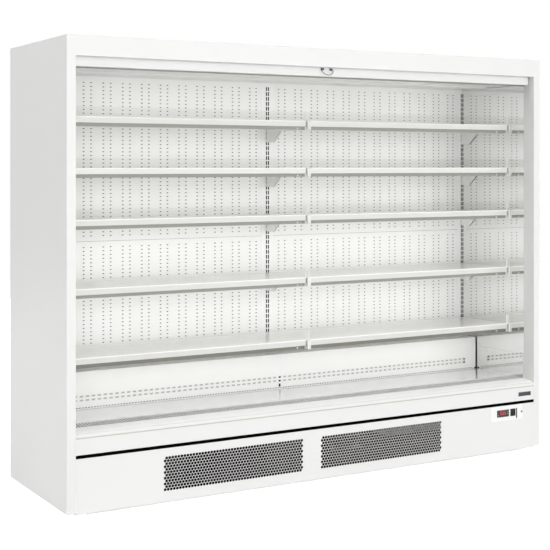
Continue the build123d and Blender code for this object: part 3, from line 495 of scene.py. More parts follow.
low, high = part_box("kick_panel")
control_low, control_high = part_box("controller")
switch_low, switch_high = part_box("switch_bezel")
windows = [(start, INTAKE_LOW, end, INTAKE_HIGH) for start, end in INTAKES]
windows += [(a.x + in_x, a.z + in_z, b.x - in_x, b.z - in_z) for a, b, in_x, in_z in (
    (control_low, control_high, 0.003, 0.003), (switch_low, switch_high, 0.001, 0.0015))]
high.z -= 0.0016                     # widens the dark joint over the panel to what it looks like
SIDE_PLAY = 0.0011                   # closes most of the gap that the solids leave beside the end panels
low.x, high.x = low.x - SIDE_PLAY, high.x + SIDE_PLAY
face_low, face_high = low.z + BEND, high.z - BEND
parts = [upright(plain_patches(around((low.x, face_low, high.x, face_high), windows)), FRONT)]
for start, end in INTAKES:
    field = (start + INTAKE_MARGIN, INTAKE_LOW + INTAKE_MARGIN, end - INTAKE_MARGIN, INTAKE_HIGH - INTAKE_MARGIN)
    centres, cell, ends = staggered(field[0], field[2], field[1], field[3], INTAKE_COUNT, INTAKE_ROWS)
    rim = around((start, INTAKE_LOW, end, INTAKE_HIGH), [field])
    parts += [upright(holed_cells(centres, cell, (INTAKE_RADIUS, INTAKE_RADIUS)), FRONT),
              upright(plain_patches(rim + ends), FRONT)]
for corners in ([(high.y, low.z), (FRONT, low.z), (FRONT, face_low)],
                [(FRONT, face_high), (FRONT, high.z), (high.y - 0.002, high.z)]):
    parts.append(run_along_x(rounded_line(corners, BEND * 0.999), low.x, high.x))
kick_sheet = thicken(add_piece("kick_panel_sheet", *gather(*parts), outer_white, "white_steel"), KICK_SHEET)
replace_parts(kick_sheet, "kick_panel")


# ---------------------------------------------------------------- kick panel gap shade
# Black strip in the joint over the kick panel, set back behind the faces: painted shade for the dark of the recess.
def moulded_black(name, colour, roughness, specular):
    """Spark-eroded mould texture, half a millimetre wide, on black plastic."""
    plastic = Finish(name)
    grain = plastic.noise(1800.0, 2.0)
    lighter = shaded(colour, 1.7, 0.004 * specular)
    return plastic.principled({
        "Base Color": plastic.between(plastic.noise(60.0, 3.0), colour, lighter), "Specular IOR Level": specular,
        "Roughness": grain * 0.2 + (roughness - 0.1), "Normal": plastic.bump(grain, 0.00006, 0.6)})


def box_piece(name, boxes, finish, slot, body="cabinet", rounded=0.0):
    """Closed boxes, one for each (low x, y, z, high x, y, z), as one piece, its edges rounded if asked."""
    corners = np.asarray(boxes, float)[:, [[0, 1, 2], [3, 1, 2], [3, 4, 2], [0, 4, 2], [0, 1, 5], [3, 1, 5],
                                           [3, 4, 5], [0, 4, 5]]]
    sides = np.array([[0, 3, 2, 1], [4, 5, 6, 7], [0, 1, 5, 4], [1, 2, 6, 5], [2, 3, 7, 6], [3, 0, 4, 7]])
    faces = (np.arange(len(corners))[:, None, None] * 8 + sides).reshape(-1, 4)
    piece = add_piece(name, corners.reshape(-1, 3), faces, finish, slot, body, merge=0)
    if rounded:
        edge = piece.modifiers.new("edges", "BEVEL")
        edge.width = rounded
        edge.segments = 2
    return piece


SHADE_STRIP_FRONT, SHADE_STRIP_BACK = FRONT + 0.0010, FRONT + 0.012
low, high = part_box("kick_panel")
box_piece("kick_panel_gap_shade", [(low.x, SHADE_STRIP_FRONT, high.z - 0.0014, high.x, SHADE_STRIP_BACK, high.z + 0.0122)],
          moulded_black("gap_shade_black", linear("020202"), 0.85, DULL), "black_plastic")


# ---------------------------------------------------------------- controls
# The controller is a black snap-in box with a red figure display under a smoked window. Its keys are
# grey caps. Beside it sit two black rockers in one bezel, a dark pull strip and a small round lock.
CONTROL_X, CONTROL_Z = 1.0235, 0.2005


def plain_gloss(name, colour, roughness, metallic=0.0, glow=0.0):
    """Smooth small part, its gloss broken a little by handling."""
    part = Finish(name)
    worn = part.noise(140.0, 3.0)
    return part.principled({
        "Base Color": part.between(worn, colour, shaded(colour, 0.9)), "Metallic": metallic,
        "Roughness": worn * 0.16 + (roughness - 0.08), "Emission Color": colour, "Emission Strength": glow})


black_plastic = moulded_black("black_plastic", linear("141416"), 0.42, 0.5)
dress(black_plastic, "controller", "condenser_fan", "evaporator_fan_left", "evaporator_fan_right")
dress(moulded_black("switch_black", linear("08080A"), 0.34, 0.3), "switch_bezel", "rocker_left", "rocker_right")
dress(plain_gloss("key_grey", linear("9EA3A8"), 0.4), "key_up", "key_down", "key_set")

face_y = FRONT - 0.0015
WINDOW_HALF, WINDOW_DOWN, WINDOW_UP = 0.0238, 0.0098, 0.0118
box_piece("controller_window", [(CONTROL_X - WINDOW_HALF, face_y + 0.0001, CONTROL_Z - WINDOW_DOWN,
                                 CONTROL_X + WINDOW_HALF, face_y + 0.0007, CONTROL_Z + WINDOW_UP)],
          plain_gloss("window_smoke", linear("0A0405"), 0.12), "black_plastic")

# three seven-segment figures; a segment is named by its side: top, middle, bottom, upper and lower left
# and right
SEGMENTS = {"t": (0, 2, 1, 2), "m": (0, 1, 1, 1), "b": (0, 0, 1, 0), "ul": (0, 1, 0, 2), "ur": (1, 1, 1, 2),
            "ll": (0, 0, 0, 1), "lr": (1, 0, 1, 1)}
FIGURES = {"0": ("t", "b", "ul", "ur", "ll", "lr"), "3": ("t", "m", "b", "ur", "lr"), "5": ("t", "m", "b", "ul", "lr")}
FIGURE_WIDE, FIGURE_HALF_TALL, STROKE = 0.0078, 0.0062, 0.0018
FIGURE_PITCH, FIGURE_DEEP = 0.0136, 0.00012
POINT_LEFT, POINT_WIDE = 0.0040, 0.0020
figures_left, figures_low = CONTROL_X - 0.0178, CONTROL_Z - 0.0052
trim = STROKE * 0.62                 # gap that keeps two segments apart
bars = []
for number, figure in enumerate("035"):
    left = figures_left + number * FIGURE_PITCH
    for segment in FIGURES[figure]:
        a, b, c, d = SEGMENTS[segment]
        across, upward = (trim, 0) if b == d else (0, trim)
        bars.append((left + a * FIGURE_WIDE + across - STROKE / 2, face_y,
                     figures_low + b * FIGURE_HALF_TALL + upward - STROKE / 2,
                     left + c * FIGURE_WIDE - across + STROKE / 2, face_y + FIGURE_DEEP,
                     figures_low + d * FIGURE_HALF_TALL - upward + STROKE / 2))
point_x = figures_left + 2 * FIGURE_PITCH - POINT_LEFT
bars.append((point_x, face_y, figures_low - STROKE / 2,
             point_x + POINT_WIDE, face_y + FIGURE_DEEP, figures_low + STROKE / 2))
box_piece("display_figures", bars, plain_gloss("lit_red", linear("D8202A"), 0.3, glow=0.7), "black_plastic")

# small signs over the window
SIGN_HALF, SIGN_LOW, SIGN_HIGH = 0.0014, CONTROL_Z + 0.0135, CONTROL_Z + 0.0149
signs = [(CONTROL_X + x - SIGN_HALF, face_y - 0.0001, SIGN_LOW, CONTROL_X + x + SIGN_HALF, face_y, SIGN_HIGH)
         for x in (-0.018, -0.009, 0.0, 0.009, 0.018)]
box_piece("display_signs", signs, plain_gloss("icon_grey", linear("B8BCC0"), 0.4), "key_plastic")

# bare strip and lock beside the controls, and the bare ground of a label round them
STRIP_X, STRIP_HALF, STRIP_LOW, STRIP_HIGH = 1.1112, 0.0032, 0.169, 0.220
box_piece("control_strip", [(STRIP_X - STRIP_HALF, FRONT - 0.0016, STRIP_LOW, STRIP_X + STRIP_HALF, FRONT, STRIP_HIGH)],
          black_plastic, "black_plastic", rounded=0.0006)
LABEL = (0.948, 0.164, 1.150, 0.236)
LABEL_THICK = 0.0002
label_cuts = [(a.x, a.z, b.x, b.z) for a, b in ((control_low, control_high), (switch_low, switch_high))]
thicken(add_piece("label_ground", *upright(plain_patches(around(LABEL, label_cuts)), FRONT - LABEL_THICK),
                  plain_gloss("label_white", linear("E9E9E8"), 0.3), "white_steel"), LABEL_THICK)


def lathe(outline, centre):
    """Surface of (radius, distance towards the front) points turned about a line along Y."""
    turns = 32
    outline = np.asarray(outline, float)
    angle = np.linspace(0, 2 * np.pi, turns, endpoint=False)
    ring = np.stack([np.cos(angle), np.sin(angle)])
    x = centre[0] + outline[:, :1] * ring[0]
    z = centre[2] + outline[:, :1] * ring[1]
    y = centre[1] - np.repeat(outline[:, 1:], turns, 1)
    index = np.arange(len(outline) * turns).reshape(-1, turns)
    faces = np.stack([index[:-1], np.roll(index[:-1], -1, 1), np.roll(index[1:], -1, 1), index[1:]], -1)
    return np.stack([x, y, z], -1).reshape(-1, 3), faces.reshape(-1, 4)


lock_outline = [(0.0052, 0), (0.0052, 0.001), (0.0045, 0.0018), (0.0026, 0.0018), (0.0022, 0.0006), (1e-5, 0.0006)]
add_piece("panel_lock", *lathe(lock_outline, (1.145, FRONT, 0.199)),
          plain_gloss("lock_steel", linear("6E7175"), 0.3, metallic=1.0), "handle_wire", smooth=True)

# ---------------------------------------------------------------- badge plate
# A small dark plate with a pale rim is riveted to the right end of the front fascia. It is left bare.
left, bottom, right, top = 1.1240, 0.2760, 1.2040, 0.2960
RIM_WIDE = 0.0015
box_piece("badge_rim", [(left - RIM_WIDE, FRONT - 0.0012, bottom - RIM_WIDE, right + RIM_WIDE, FRONT, top + RIM_WIDE)],
          plain_gloss("plate_rim", linear("C4C6C8"), 0.25, metallic=1.0), "handle_wire", rounded=0.0008)
box_piece("badge_plate", [(left, FRONT - 0.0018, bottom, right, FRONT - 0.0004, top)],
          plain_gloss("plate_dark", linear("26282A"), 0.25), "black_plastic", rounded=0.0006)

# ---------------------------------------------------------------- inner panels
# The inside is the same coated steel a little warmer, and lighter than the outside: painted light on the shaded inside.
# The duct panels are punched with twelve pairs of columns of short slots a bay, which let the cold air out, over dark
# backing sheets that are painted shade in the air duct.
inner_white_lifted = powder_coat("inner_white_lifted", linear("F8F8F6"), 0.34)
dress(inner_white_lifted, "ceiling_panel")


def glossy_enamel(name, colour):
    """White enamel with a clear coat, so that it mirrors the panels behind it at a low angle."""
    enamel = Finish(name)
    return enamel.principled({
        "Base Color": enamel.between(enamel.noise(240.0, 1.0), colour, shaded(colour, 0.97)),
        "Roughness": enamel.noise(3.0, 3.0) * 0.1 + 0.12, "Coat Weight": 1.0, "Coat Roughness": 0.1, "Coat IOR": 1.8,
        "Normal": enamel.orange_peel(0.00006, 0.4)})


# The deck pans' white is as light as a white goes: painted light on the deck under the shelves.
dress(glossy_enamel("deck_enamel", linear("FCFCFA")), "deck_pan_left", "deck_pan_right")
low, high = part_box("duct_panels")
DUCT_FACE = low.y
UPRIGHT_COLUMNS = (0.0055, 1.219)    # both signs of x
HIGHEST_SLOT, UPRIGHT_PITCH, UPRIGHT_SLOTS = 1.8163, 0.0245, 53
RIM = (0.0033, 0.0097)               # half width and half height of a slot with its punched rim


def slotted_coat(name, coat_colour, bare_steel_and_shade):
    """White on the front face but for a dark rim round each slot, partly the steel that the punch left bare and
    partly painted shade. Behind the face all is dark, partly bare steel and partly painted shade inside the channel. A
    rim is where x is near a column and the height is near a whole number of pitches."""
    coat = Finish(name)
    x = abs(coat.along("X"))
    across = abs(x - UPRIGHT_COLUMNS[0]).maths("MINIMUM", abs(x - UPRIGHT_COLUMNS[1]))
    place = (HIGHEST_SLOT - coat.along("Z")) * (1 / UPRIGHT_PITCH)
    from_slot = abs((place + 0.5).maths("FRACT") - 0.5)
    in_row = (place > -0.5) * (place < UPRIGHT_SLOTS - 0.5) * (from_slot < RIM[1] / UPRIGHT_PITCH)
    dark = (in_row * (across < RIM[0])).maths("MAXIMUM", coat.along("Y") > DUCT_FACE + 0.0003)
    return coat.principled({
        "Base Color": coat.between(dark, coat_colour, bare_steel_and_shade),
        "Roughness": coat.noise(4.0, 3.0) * 0.12 + 0.3, "Normal": coat.orange_peel()})


dress(slotted_coat("slotted_coat", linear("F9F9F7"), linear("141414")), "uprights")
UPRIGHT_HALF, UPRIGHT_PLAY = 0.034, 0.0003
PAIR_FIRST, PAIR_PITCH, PAIR_HALF, PAIRS = 0.082, 0.0965, 0.018, 12
HOLE_PITCH, HOLE_TOP, HOLE_BOTTOM = 0.0176, 1.826, 0.538
AIR_SLOT, AIR_CELL = (0.0046, 0.0019), (0.008, 0.0032)      # half width and half height
SEAM_Z, SEAM_GAP = 1.088, 0.0005     # joint of the upper and the lower panels
columns = np.array([PAIR_FIRST + PAIR_PITCH * k + side * PAIR_HALF for k in range(PAIRS) for side in (-1, 1)])
row_zs = HOLE_TOP - HOLE_PITCH * (np.arange(int((HOLE_TOP - HOLE_BOTTOM) / HOLE_PITCH)) + 0.5)
row_zs = row_zs[np.abs(row_zs - SEAM_Z) > HOLE_PITCH * 0.75]
parts = []
for bay in (-1, 1):
    xs = bay * columns
    ends = [bay * (UPRIGHT_HALF + UPRIGHT_PLAY), bay * high.x]
    edges = np.sort(np.concatenate([ends, xs - AIR_CELL[0], xs + AIR_CELL[0]]))
    for panel_low, panel_high in ((low.z, SEAM_Z - SEAM_GAP), (SEAM_Z + SEAM_GAP, high.z)):
        zs = row_zs[(row_zs > panel_low) & (row_zs < panel_high)]
        centres = np.column_stack([np.repeat(xs, len(zs)), np.tile(zs, len(xs))])
        parts.append(upright(holed_cells(centres, AIR_CELL, AIR_SLOT, 8, 4), DUCT_FACE))
        plain = [(a, panel_low, b, panel_high) for a, b in edges.reshape(-1, 2)]
        levels = np.sort(np.concatenate([[panel_low, panel_high], zs - AIR_CELL[1], zs + AIR_CELL[1]]))
        plain += [(x - AIR_CELL[0], a, x + AIR_CELL[0], b) for x in xs for a, b in levels.reshape(-1, 2)]
        parts.append(upright(plain_patches(plain), DUCT_FACE))
duct_sheet = thicken(add_piece("duct_panel_sheets", *gather(*parts), inner_white_lifted, "inner_steel"), 0.0006)
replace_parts(duct_sheet, "duct_panels")

# one dark backing strip behind each bay, and one deeper behind each upright: painted shade that keeps the slots dark
BACKING_SHEET, BACKING_PLAY = 0.001, 0.004
near, far = UPRIGHT_HALF + BACKING_PLAY, high.x - BACKING_PLAY
strips = [(a, DUCT_FACE + 0.004, b) for a, b in ((near, far), (-far, -near))]
strips += [(a, DUCT_FACE + 0.0085, b) for a, b in ((-0.030, 0.030), (-1.2245, -1.196), (1.196, 1.2245))]
painted_shade_black = moulded_black("painted_shade_black", linear("060606"), 0.8, DULL)
box_piece("duct_shade_backing", [(a, y, low.z + BACKING_PLAY, b, y + BACKING_SHEET, high.z - BACKING_PLAY) for a, y, b in strips],
          painted_shade_black, "black_plastic")

# ---------------------------------------------------------------- evaporator covers
# Lower back panels, one a bay, bent back at the top to meet the duct panels. Two rows of slots draw
# air to the fans, and a row of short stitches marks the hem where the deck pans hook in.
low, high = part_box("evaporator_covers")
COVER_FACE, COVER_BEND_Z = 0.091, 0.515
HEM_Z, HEM_DEEP = 0.334, 0.021
SLOT_PITCH, COVER_SLOTS = 0.0285, 40
COVER_SLOT, STITCH = (0.0088, 0.0038), (0.0048, 0.0016)     # half width and half height
SLOT_ROWS = (0.3855, 0.403)
row_half = (SLOT_ROWS[1] - SLOT_ROWS[0]) / 2
slot_band = (SLOT_ROWS[0] - row_half, SLOT_ROWS[1] + row_half)
STITCHES = 84
STITCH_Z, STITCH_HALF = 0.3520, 0.004
stitch_band = (STITCH_Z - STITCH_HALF, STITCH_Z + STITCH_HALF)
NOTCH_X, NOTCH_HALF = 0.0060, 0.0040
JOINT_NOTCH_X, JOINT_NOTCH_TOP = 0.0048, 0.371
parts = []
for bay in (-1, 1):
    slot_xs = bay * SLOT_PITCH * (np.arange(COVER_SLOTS) + 1.0)
    grid = np.column_stack([np.repeat(slot_xs, 2), np.tile(SLOT_ROWS, len(slot_xs))])
    parts.append(upright(holed_cells(grid, (SLOT_PITCH / 2, row_half), COVER_SLOT, 16, 6), COVER_FACE))
    stitch_xs = bay * SLOT_PITCH / 2 * (np.arange(STITCHES) + 0.5)
    grid = np.column_stack([stitch_xs, np.full(len(stitch_xs), STITCH_Z)])
    parts.append(upright(holed_cells(grid, (SLOT_PITCH / 4, STITCH_HALF), STITCH, 8, 4), COVER_FACE))
    near, far = bay * 0.0002, bay * high.x
    strips = [(near, far, low.z + BEND, stitch_band[0]), (bay * SLOT_PITCH * STITCHES / 2, far, *stitch_band),
              (bay * JOINT_NOTCH_X, far, stitch_band[1], JOINT_NOTCH_TOP), (near, far, JOINT_NOTCH_TOP, slot_band[0]),
              (bay * SLOT_PITCH * (COVER_SLOTS + 0.5), far, *slot_band), (near, far, slot_band[1], COVER_BEND_Z - BEND)]
    # beside the joint of the two covers is a notch for each row of slots
    steps = [slot_band[0], *(z + side * NOTCH_HALF for z in SLOT_ROWS for side in (-1, 1)), slot_band[1]]
    strips += [(bay * NOTCH_X if number % 2 else near, bay * SLOT_PITCH / 2, below, above)
               for number, (below, above) in enumerate(zip(steps, steps[1:]))]
    parts.append(upright(plain_patches([(min(a, b), c, max(a, b), d) for a, b, c, d in strips]), COVER_FACE))
    for corners, radius in (
            ([(COVER_FACE - HEM_DEEP, HEM_Z), (COVER_FACE, HEM_Z), (COVER_FACE, low.z + BEND)], 0.001),
            ([(COVER_FACE, COVER_BEND_Z - BEND), (COVER_FACE, COVER_BEND_Z), (high.y, high.z)], BEND * 0.95)):
        parts.append(run_along_x(rounded_line(corners, radius), *sorted((near, far))))
cover_sheet = thicken(add_piece("evaporator_cover_sheets", *gather(*parts), inner_white_lifted, "inner_steel"), 0.0008)
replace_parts(cover_sheet, "evaporator_covers")

# pale baffles behind the slots, a dark backing behind the stitches and the joint as painted shade, and a clip in the
# corner
baffle_y, hem_y = COVER_FACE + 0.0040, COVER_FACE + 0.0020
box_piece("cover_baffles", [(a, baffle_y, 0.360, b, baffle_y + BACKING_SHEET, 0.420)
                            for a, b in ((-1.206, -0.010), (0.010, 1.126))],
          powder_coat("baffle_grey", linear("C8C8C4"), 0.5), "inner_steel")
box_piece("cover_hem_shade_backing", [(-1.206, hem_y, 0.3485, 1.206, hem_y + BACKING_SHEET, 0.3555),
                               (-0.009, hem_y, 0.3562, 0.009, hem_y + BACKING_SHEET, 0.4100)], painted_shade_black, "black_plastic")
box_piece("cover_corner_clip", [(1.2085, COVER_FACE - 0.006, 0.3475, 1.2165, COVER_FACE - 0.0002, 0.3535)],
          black_plastic, "black_plastic", rounded=0.0015)

# ---------------------------------------------------------------- return air grille
# Strip of punched sheet behind the bumper, coated white, with five rows of round holes. Its back edge
# is bent down to a ledge that carries the deck pans.
low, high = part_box("return_air_grille")
MESH_FRONT, MESH_BACK = (-0.281, 0.3495), (-0.2145, 0.3546)
MESH_COLUMNS, MESH_ROWS = 172, 5
MESH_HOLE = (0.41, 0.44)             # half width and half depth as shares of the pitch
LEDGE_Z, LEDGE_DEEP = 0.3405, 0.024
MESH_BACKING_DOWN = 0.0028
pitch = ((high.x - low.x) / MESH_COLUMNS, 1 / MESH_ROWS)
columns, rows = (pitch[axis] * (np.arange(count) + 0.5) for axis, count in enumerate((MESH_COLUMNS, MESH_ROWS)))
centres = np.stack(np.meshgrid(low.x + columns, rows), -1).reshape(-1, 2)
flat_points, flat_faces = holed_cells(centres, (pitch[0] / 2, pitch[1] / 2),
                                      (pitch[0] * MESH_HOLE[0], pitch[1] * MESH_HOLE[1]), 12, 2.4)
slope = flat_points[:, 1:] * (np.array(MESH_BACK) - MESH_FRONT) + MESH_FRONT
mesh_part = (np.column_stack([flat_points[:, 0], slope]), flat_faces)
ledge = run_along_x([MESH_BACK, (MESH_BACK[0], LEDGE_Z), (MESH_BACK[0] + LEDGE_DEEP, LEDGE_Z)], low.x, high.x)
grille_mesh = thicken(add_piece("return_air_mesh", *gather(mesh_part, ledge), inner_white_lifted, "inner_steel"), 0.0009)
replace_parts(grille_mesh, "return_air_grille")
# a dark sheet under the mesh: painted shade that keeps its holes dark
backing_line = [(MESH_FRONT[0] + 0.001, MESH_FRONT[1] - MESH_BACKING_DOWN),
               (MESH_BACK[0] - 0.002, MESH_BACK[1] - MESH_BACKING_DOWN)]
thicken(add_piece("return_air_shade_backing", *run_along_x(backing_line, low.x + 0.001, high.x - 0.001), painted_shade_black,
                  "black_plastic"), BACKING_SHEET)

# ---------------------------------------------------------------- air outlet
# Plastic honeycomb under the canopy that straightens the falling curtain of cold air.
low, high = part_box("air_outlet")
COMB_CELLS, COMB_OPEN = (250, 11), 0.93
centres, cell, ends = staggered(low.x, high.x, low.y, high.y, *COMB_CELLS)
flat_points, flat_faces = gather(holed_cells(centres, cell, (cell[0] * COMB_OPEN, cell[1] * COMB_OPEN), 8, 2.6),
                                 plain_patches(ends))
comb_points = np.column_stack([flat_points, np.full(len(flat_points), low.z)])
honeycomb = add_piece("air_outlet_comb", comb_points, flat_faces[:, ::-1],
                      drawn_plastic("comb_plastic", linear("ABABA2"), 0.5), "outlet_plastic")
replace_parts(thicken(honeycomb, high.z - low.z), "air_outlet")


# ---------------------------------------------------------------- mirror liners
# Polished steel sheets glued to the end panels in three strips a side. The polish is good but greys a
# little, and keeps faint upright lines from the rolling.
def polished_liner(name):
    """Lines along Z: noise forty times finer across than along, in the gloss and a little in the tone."""
    liner = Finish(name)
    lines = liner.noise(2.0, 3.0, (60, 60, 1.5))
    return liner.principled({
        "Base Color": liner.between(lines, linear("ECECEB"), linear("E6E6E5")), "Metallic": 1.0,
        "Roughness": lines * 0.03 + 0.02})


dress(polished_liner("polished_liner"), "mirror_liners")

# ---------------------------------------------------------------- shelves
# Each shelf is a coated steel tray that lies on two cantilever brackets, with a plastic ticket rail on
# its front skirt. A pale strip snaps into the rail, whose foot covers the rest of the skirt in grey, painted shade
# under the strip, and a small stop hangs under the right end.
NOSE_FACE = -0.178                   # the brackets' noses stand before this


def shelf_enamel(name, colour, shaded_nose_colour):
    """Clear-coated white. The brackets' noses are a shade greyer: painted shade on their fronts."""
    enamel = Finish(name)
    return enamel.principled({
        "Base Color": enamel.between(enamel.along("Y") < NOSE_FACE, colour, shaded_nose_colour),
        "Roughness": enamel.noise(3.0, 3.0) * 0.12 + 0.24, "Coat Weight": 0.6, "Coat Roughness": 0.12, "Coat IOR": 1.7,
        "Normal": enamel.orange_peel(0.00006, 0.4)})


shelf_white = shelf_enamel("shelf_white", linear("FAFAF8"), linear("DCDCDA"))
# one white for the strips, a little darker on each lower level: painted shade by level
level_shaded_rails = {level: drawn_plastic(f"rail_level_shade_{level}", linear(code), 0.3)
               for level, code in enumerate(("DADAD7", "D9D9D6", "D1D1CE", "D1D1CE", "CFCFCC"), 1)}
stop_white = plain_gloss("stop_white", linear("CFCFCA"), 0.5)
# the rail's foot is grey, and darker on the lowest shelf: painted shade under the strip
foot_shade_grey = drawn_plastic("foot_shade_grey", linear("8E8E86"), 0.5)
foot_deep_shade = drawn_plastic("foot_deep_shade", linear("74746B"), 0.5)
cap_shade_grey = plain_gloss("cap_shade_grey", linear("8C8C85"), 0.5)
STRIP = ((-0.1752, 0.0022), (-0.1768, 0.0026), (-0.1768, 0.0044), (-0.1758, 0.0048), (-0.1758, 0.0062),
         (-0.1766, 0.0068), (-0.1770, 0.0160), (-0.1766, 0.0259))      # y, and depth below the shelf's face
SKIRT_FACE = -0.1600
CAP_WIDE, STOP_HALF = 0.0048, 0.0035
STOPS = {"left": -0.052, "right": 1.150}
LOWEST_LEVEL = 5                     # its rail has a taller foot, darker as deeper painted shade
SHELVES = [(level, side) for level in range(1, LOWEST_LEVEL + 1) for side in ("left", "right")]
for level, side in SHELVES:
    body = f"shelf_{level}_{side}"
    dress(shelf_white, body)
    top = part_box(body)[1].z - 0.0015
    riser_low, riser_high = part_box(f"glass_riser_{level}_{side}")
    start, end, strip_end = riser_low.x + 0.001, riser_high.x - 0.001, riser_high.x - CAP_WIDE
    profile = [(y, top - down) for y, down in STRIP[::-1]]
    thicken(add_piece(f"ticket_strip_{level}_{side}", *run_along_x(profile, start, strip_end), level_shaded_rails[level],
                      "shelf_steel", body), 0.0006)
    foot_down, foot_painted_shade = (0.0450, foot_deep_shade) if level == LOWEST_LEVEL else (0.0419, foot_shade_grey)
    box_piece(f"ticket_rail_foot_{level}_{side}", [(start, SKIRT_FACE - 0.0008, top - foot_down,
                                                    end, SKIRT_FACE, top - 0.0261)], foot_painted_shade, "shelf_steel", body)
    # the end cap is grey as painted shade of the gap between the rail and the nose
    box_piece(f"ticket_rail_cap_{level}_{side}", [(strip_end, -0.1770, top - 0.0262, riser_high.x + 0.0006,
                                                   SKIRT_FACE - 0.0006, top - 0.0022)], cap_shade_grey, "shelf_steel", body)
    stop_x = STOPS[side]
    box_piece(f"shelf_stop_{level}_{side}", [(stop_x - STOP_HALF, -0.1655, top - 0.0400, stop_x + STOP_HALF,
                                              SKIRT_FACE - 0.0003, top - 0.0320)],
              stop_white, "shelf_steel", body, 0.0008)


# ---------------------------------------------------------------- glass risers
# Float glass, 6 mm thick, with its edges ground and polished, stood in the slot of each ticket rail.
# Through the face it greys what is behind it a little; along the edge it shows its green, with a faint glow as painted
# light.
def clear_pane(name, tint):
    """What is behind the pane shows through its tint, under a trace of gloss that cleaning left uneven."""
    glass = Finish(name)
    wiped = glass.noise(7.0, 3.0)
    behind = glass.node("BsdfTransparent", sockets={"Color": tint})
    gloss = glass.node("BsdfPrincipled", sockets={
        "Base Color": (0.75, 0.75, 0.74, 1), "Roughness": wiped * 0.06 + 0.05, "IOR": 1.45})
    return glass.end(glass.node("MixShader", sockets={0: wiped * 0.012 + 0.002, 1: behind, 2: gloss}))


clear_glass = clear_pane("clear_glass", (0.984, 0.984, 0.978, 1))
glowing_edge_glass = plain_gloss("glowing_edge_glass", linear("E4ECE8"), 0.2, glow=0.28)
GROUND_SIDES = [0, 0, 0, 1, 0, 1]    # 1 for each of a pane's six sides that shows its ground edge
for level, side in SHELVES:
    low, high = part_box(f"glass_riser_{level}_{side}")
    pane = box_piece(f"glass_pane_{level}_{side}", [(*low, *high)], clear_glass, "riser_glass", f"shelf_{level}_{side}")
    pane.data.materials.append(glowing_edge_glass)
    pane.data.polygons.foreach_set("material_index", GROUND_SIDES)
    pane.visible_shadow = False
    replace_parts(pane, f"glass_riser_{level}_{side}")

# ---------------------------------------------------------------- night blind
# The pull rail is a white anodised extrusion, toned a little grey as painted shade under the canopy. The cloth is a
# pale coated fabric wound on a sprung tube inside the canopy, and a wire handle hangs from two lugs on the rail.
dress(powder_coat("rail_coat_shaded", linear("DFDFDE"), 0.3), "blind_rail")
dress(plain_gloss("tube_metal", linear("C9CBCC"), 0.3, metallic=1.0), "blind_roller")
ROLLER = (-0.339, 1.924)
TUBE_RADIUS, WOUND_RADIUS = 0.0127, 0.0199
CLOTH_HALF = 1.204
TURNS, STEPS_A_TURN = 16, 28


def woven_cloth(name):
    """Plain weave of 1.2 mm threads: two crossed waves, one along X and one along the drop."""
    cloth = Finish(name)
    spot = cloth.place()
    across, down = (cloth.node("TexWave", {"bands_direction": way}, {"Vector": spot, "Scale": 260.0, "Distortion": 0.4},
                               out="Fac") for way in ("X", "Z"))
    threads = across * down
    return cloth.principled({
        "Base Color": cloth.between(threads, linear("BFC0BD"), linear("DCDCD8")),
        "Roughness": threads * 0.2 + 0.6, "Normal": cloth.bump(threads, 0.0002, 0.7)})


blind_cloth = woven_cloth("woven_cloth")
angle = np.linspace(0, 2 * np.pi * TURNS, TURNS * STEPS_A_TURN + 1)
radius = TUBE_RADIUS + (WOUND_RADIUS - TUBE_RADIUS) * angle / angle[-1]
spiral = np.column_stack([ROLLER[0] + radius * np.cos(angle), ROLLER[1] + radius * np.sin(angle)])
wound = add_piece("blind_cloth_wound", *run_along_x(spiral, -CLOTH_HALF, CLOTH_HALF), blind_cloth, "blind_cloth",
                  "blind_roller", smooth=True)
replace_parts(wound, "blind_fabric")

cloth_y = ROLLER[0] + WOUND_RADIUS
cloth_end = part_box("blind_rail")[1].z - 0.003
drop = np.linspace(ROLLER[1], cloth_end, 41)
hanging = add_piece("blind_cloth_hanging", *run_along_x(np.column_stack([np.full(len(drop), cloth_y), drop]),
                                                        -CLOTH_HALF, CLOTH_HALF), blind_cloth, "blind_cloth", None)
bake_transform(hanging)


def tube_along(path, radius):
    """Round tube on a path. Its rings are carried along without twist, and its two ends are closed."""
    sides = 14
    path = np.asarray(path, float)
    ahead = np.gradient(path, axis=0)
    ahead /= np.linalg.norm(ahead, axis=1, keepdims=True)
    side = np.cross(ahead[0], (0.31, 0.77, 0.56))
    carried = []
    for direction in ahead:
        side = side - direction * (side @ direction)
        side /= np.linalg.norm(side)
        carried.append(side)
    side = np.array(carried)
    other = np.cross(ahead, side)
    angle = np.linspace(0, 2 * np.pi, sides, endpoint=False)
    ring = side[:, None] * np.cos(angle)[None, :, None] + other[:, None] * np.sin(angle)[None, :, None]
    points = np.concatenate([np.repeat(path[:1, None], sides, 1), path[:, None] + ring * radius,
                             np.repeat(path[-1:, None], sides, 1)])
    index = np.arange(points.shape[0] * sides).reshape(-1, sides)
    faces = np.stack([index[:-1], np.roll(index[:-1], -1, 1), np.roll(index[1:], -1, 1), index[1:]], -1)
    return points.reshape(-1, 3), faces.reshape(-1, 4)


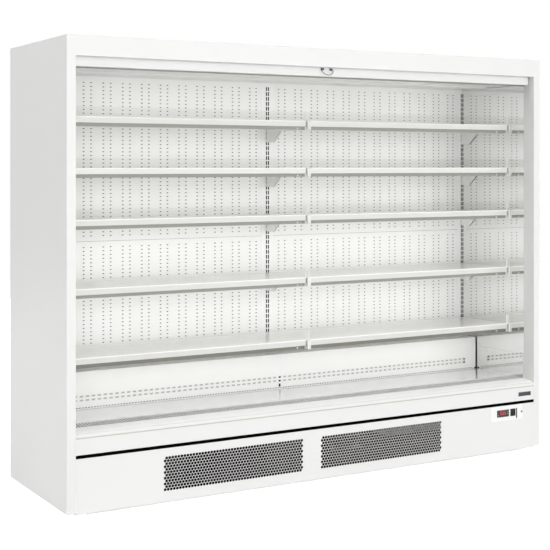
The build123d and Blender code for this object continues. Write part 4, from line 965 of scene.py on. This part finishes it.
HANDLE_Y, HANDLE_Z = -0.330, 1.878
HANDLE_MID, LUG_REACH, LUG_HALF = 0.005, 0.023, (0.0056, 0.0052)
BAIL_RADIUS, BAIL_SWING = 0.032, math.radians(33)
WIRE_RADIUS, WIRE_BEND = 0.0014, 0.0015
lugs = {"left": HANDLE_MID - LUG_REACH, "right": HANDLE_MID + LUG_REACH}
turned = np.linspace(0, np.pi, 25)
bail = [(lugs["left"] + 0.003, 0), *zip(HANDLE_MID - BAIL_RADIUS * np.cos(turned), BAIL_RADIUS * np.sin(turned)),
        (lugs["right"] - 0.003, 0)]
bail = [(x, HANDLE_Y - math.sin(BAIL_SWING) * down, HANDLE_Z - math.cos(BAIL_SWING) * down) for x, down in bail]
handle = add_piece("blind_handle_wire", *tube_along(rounded_line(bail, WIRE_BEND, 3), WIRE_RADIUS),
                   plain_gloss("dark_wire", linear("4A4C50"), 0.3, metallic=1.0), "handle_wire", "blind_handle",
                   smooth=True)
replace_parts(handle, "blind_handle")
lug_dark = plain_gloss("lug_dark", linear("6A6C70"), 0.35, metallic=1.0)
for name, x in lugs.items():
    box_piece(f"handle_lug_{name}", [(x - LUG_HALF[0], -0.3346, HANDLE_Z - LUG_HALF[1], x + LUG_HALF[0], -0.3258,
                                      HANDLE_Z + LUG_HALF[1])], lug_dark, "handle_wire", "blind_rail", 0.0012)


# ---------------------------------------------------------------- cooling unit
# Behind the kick panel and the covers: a black painted hermetic compressor, aluminium fin blocks,
# copper pipe and galvanised fan plates. They are glimpsed through the punched holes only; the fins and the pipe are
# darkened as painted shade, so that the holes stay dark.
def shaded_fin_metal(name):
    """Thin fins with a black coat, kept near black as painted shade of the machine room: dark and less dark lines
    across X, 2 mm apart.
    """
    fins = Finish(name)
    lines = fins.node("TexWave", sockets={"Vector": fins.place(), "Scale": 160.0}, out="Fac")
    return fins.principled({
        "Base Color": fins.between(lines, linear("030303"), linear("0C0C0D")), "Roughness": 0.6,
        "Specular IOR Level": DULL, "Normal": fins.bump(lines, 0.0005, 0.8)})


dress(shaded_fin_metal("shaded_fin_metal"), "condenser", "evaporator_coil")
dress(moulded_black("compressor_paint", linear("08080A"), 0.4, 0.2), "compressor")
# the copper is darkened to a near black brown: painted shade of the machine room
dress(plain_gloss("shaded_copper_pipe", linear("2A1C16"), 0.5, metallic=1.0), "refrigerant_pipes")
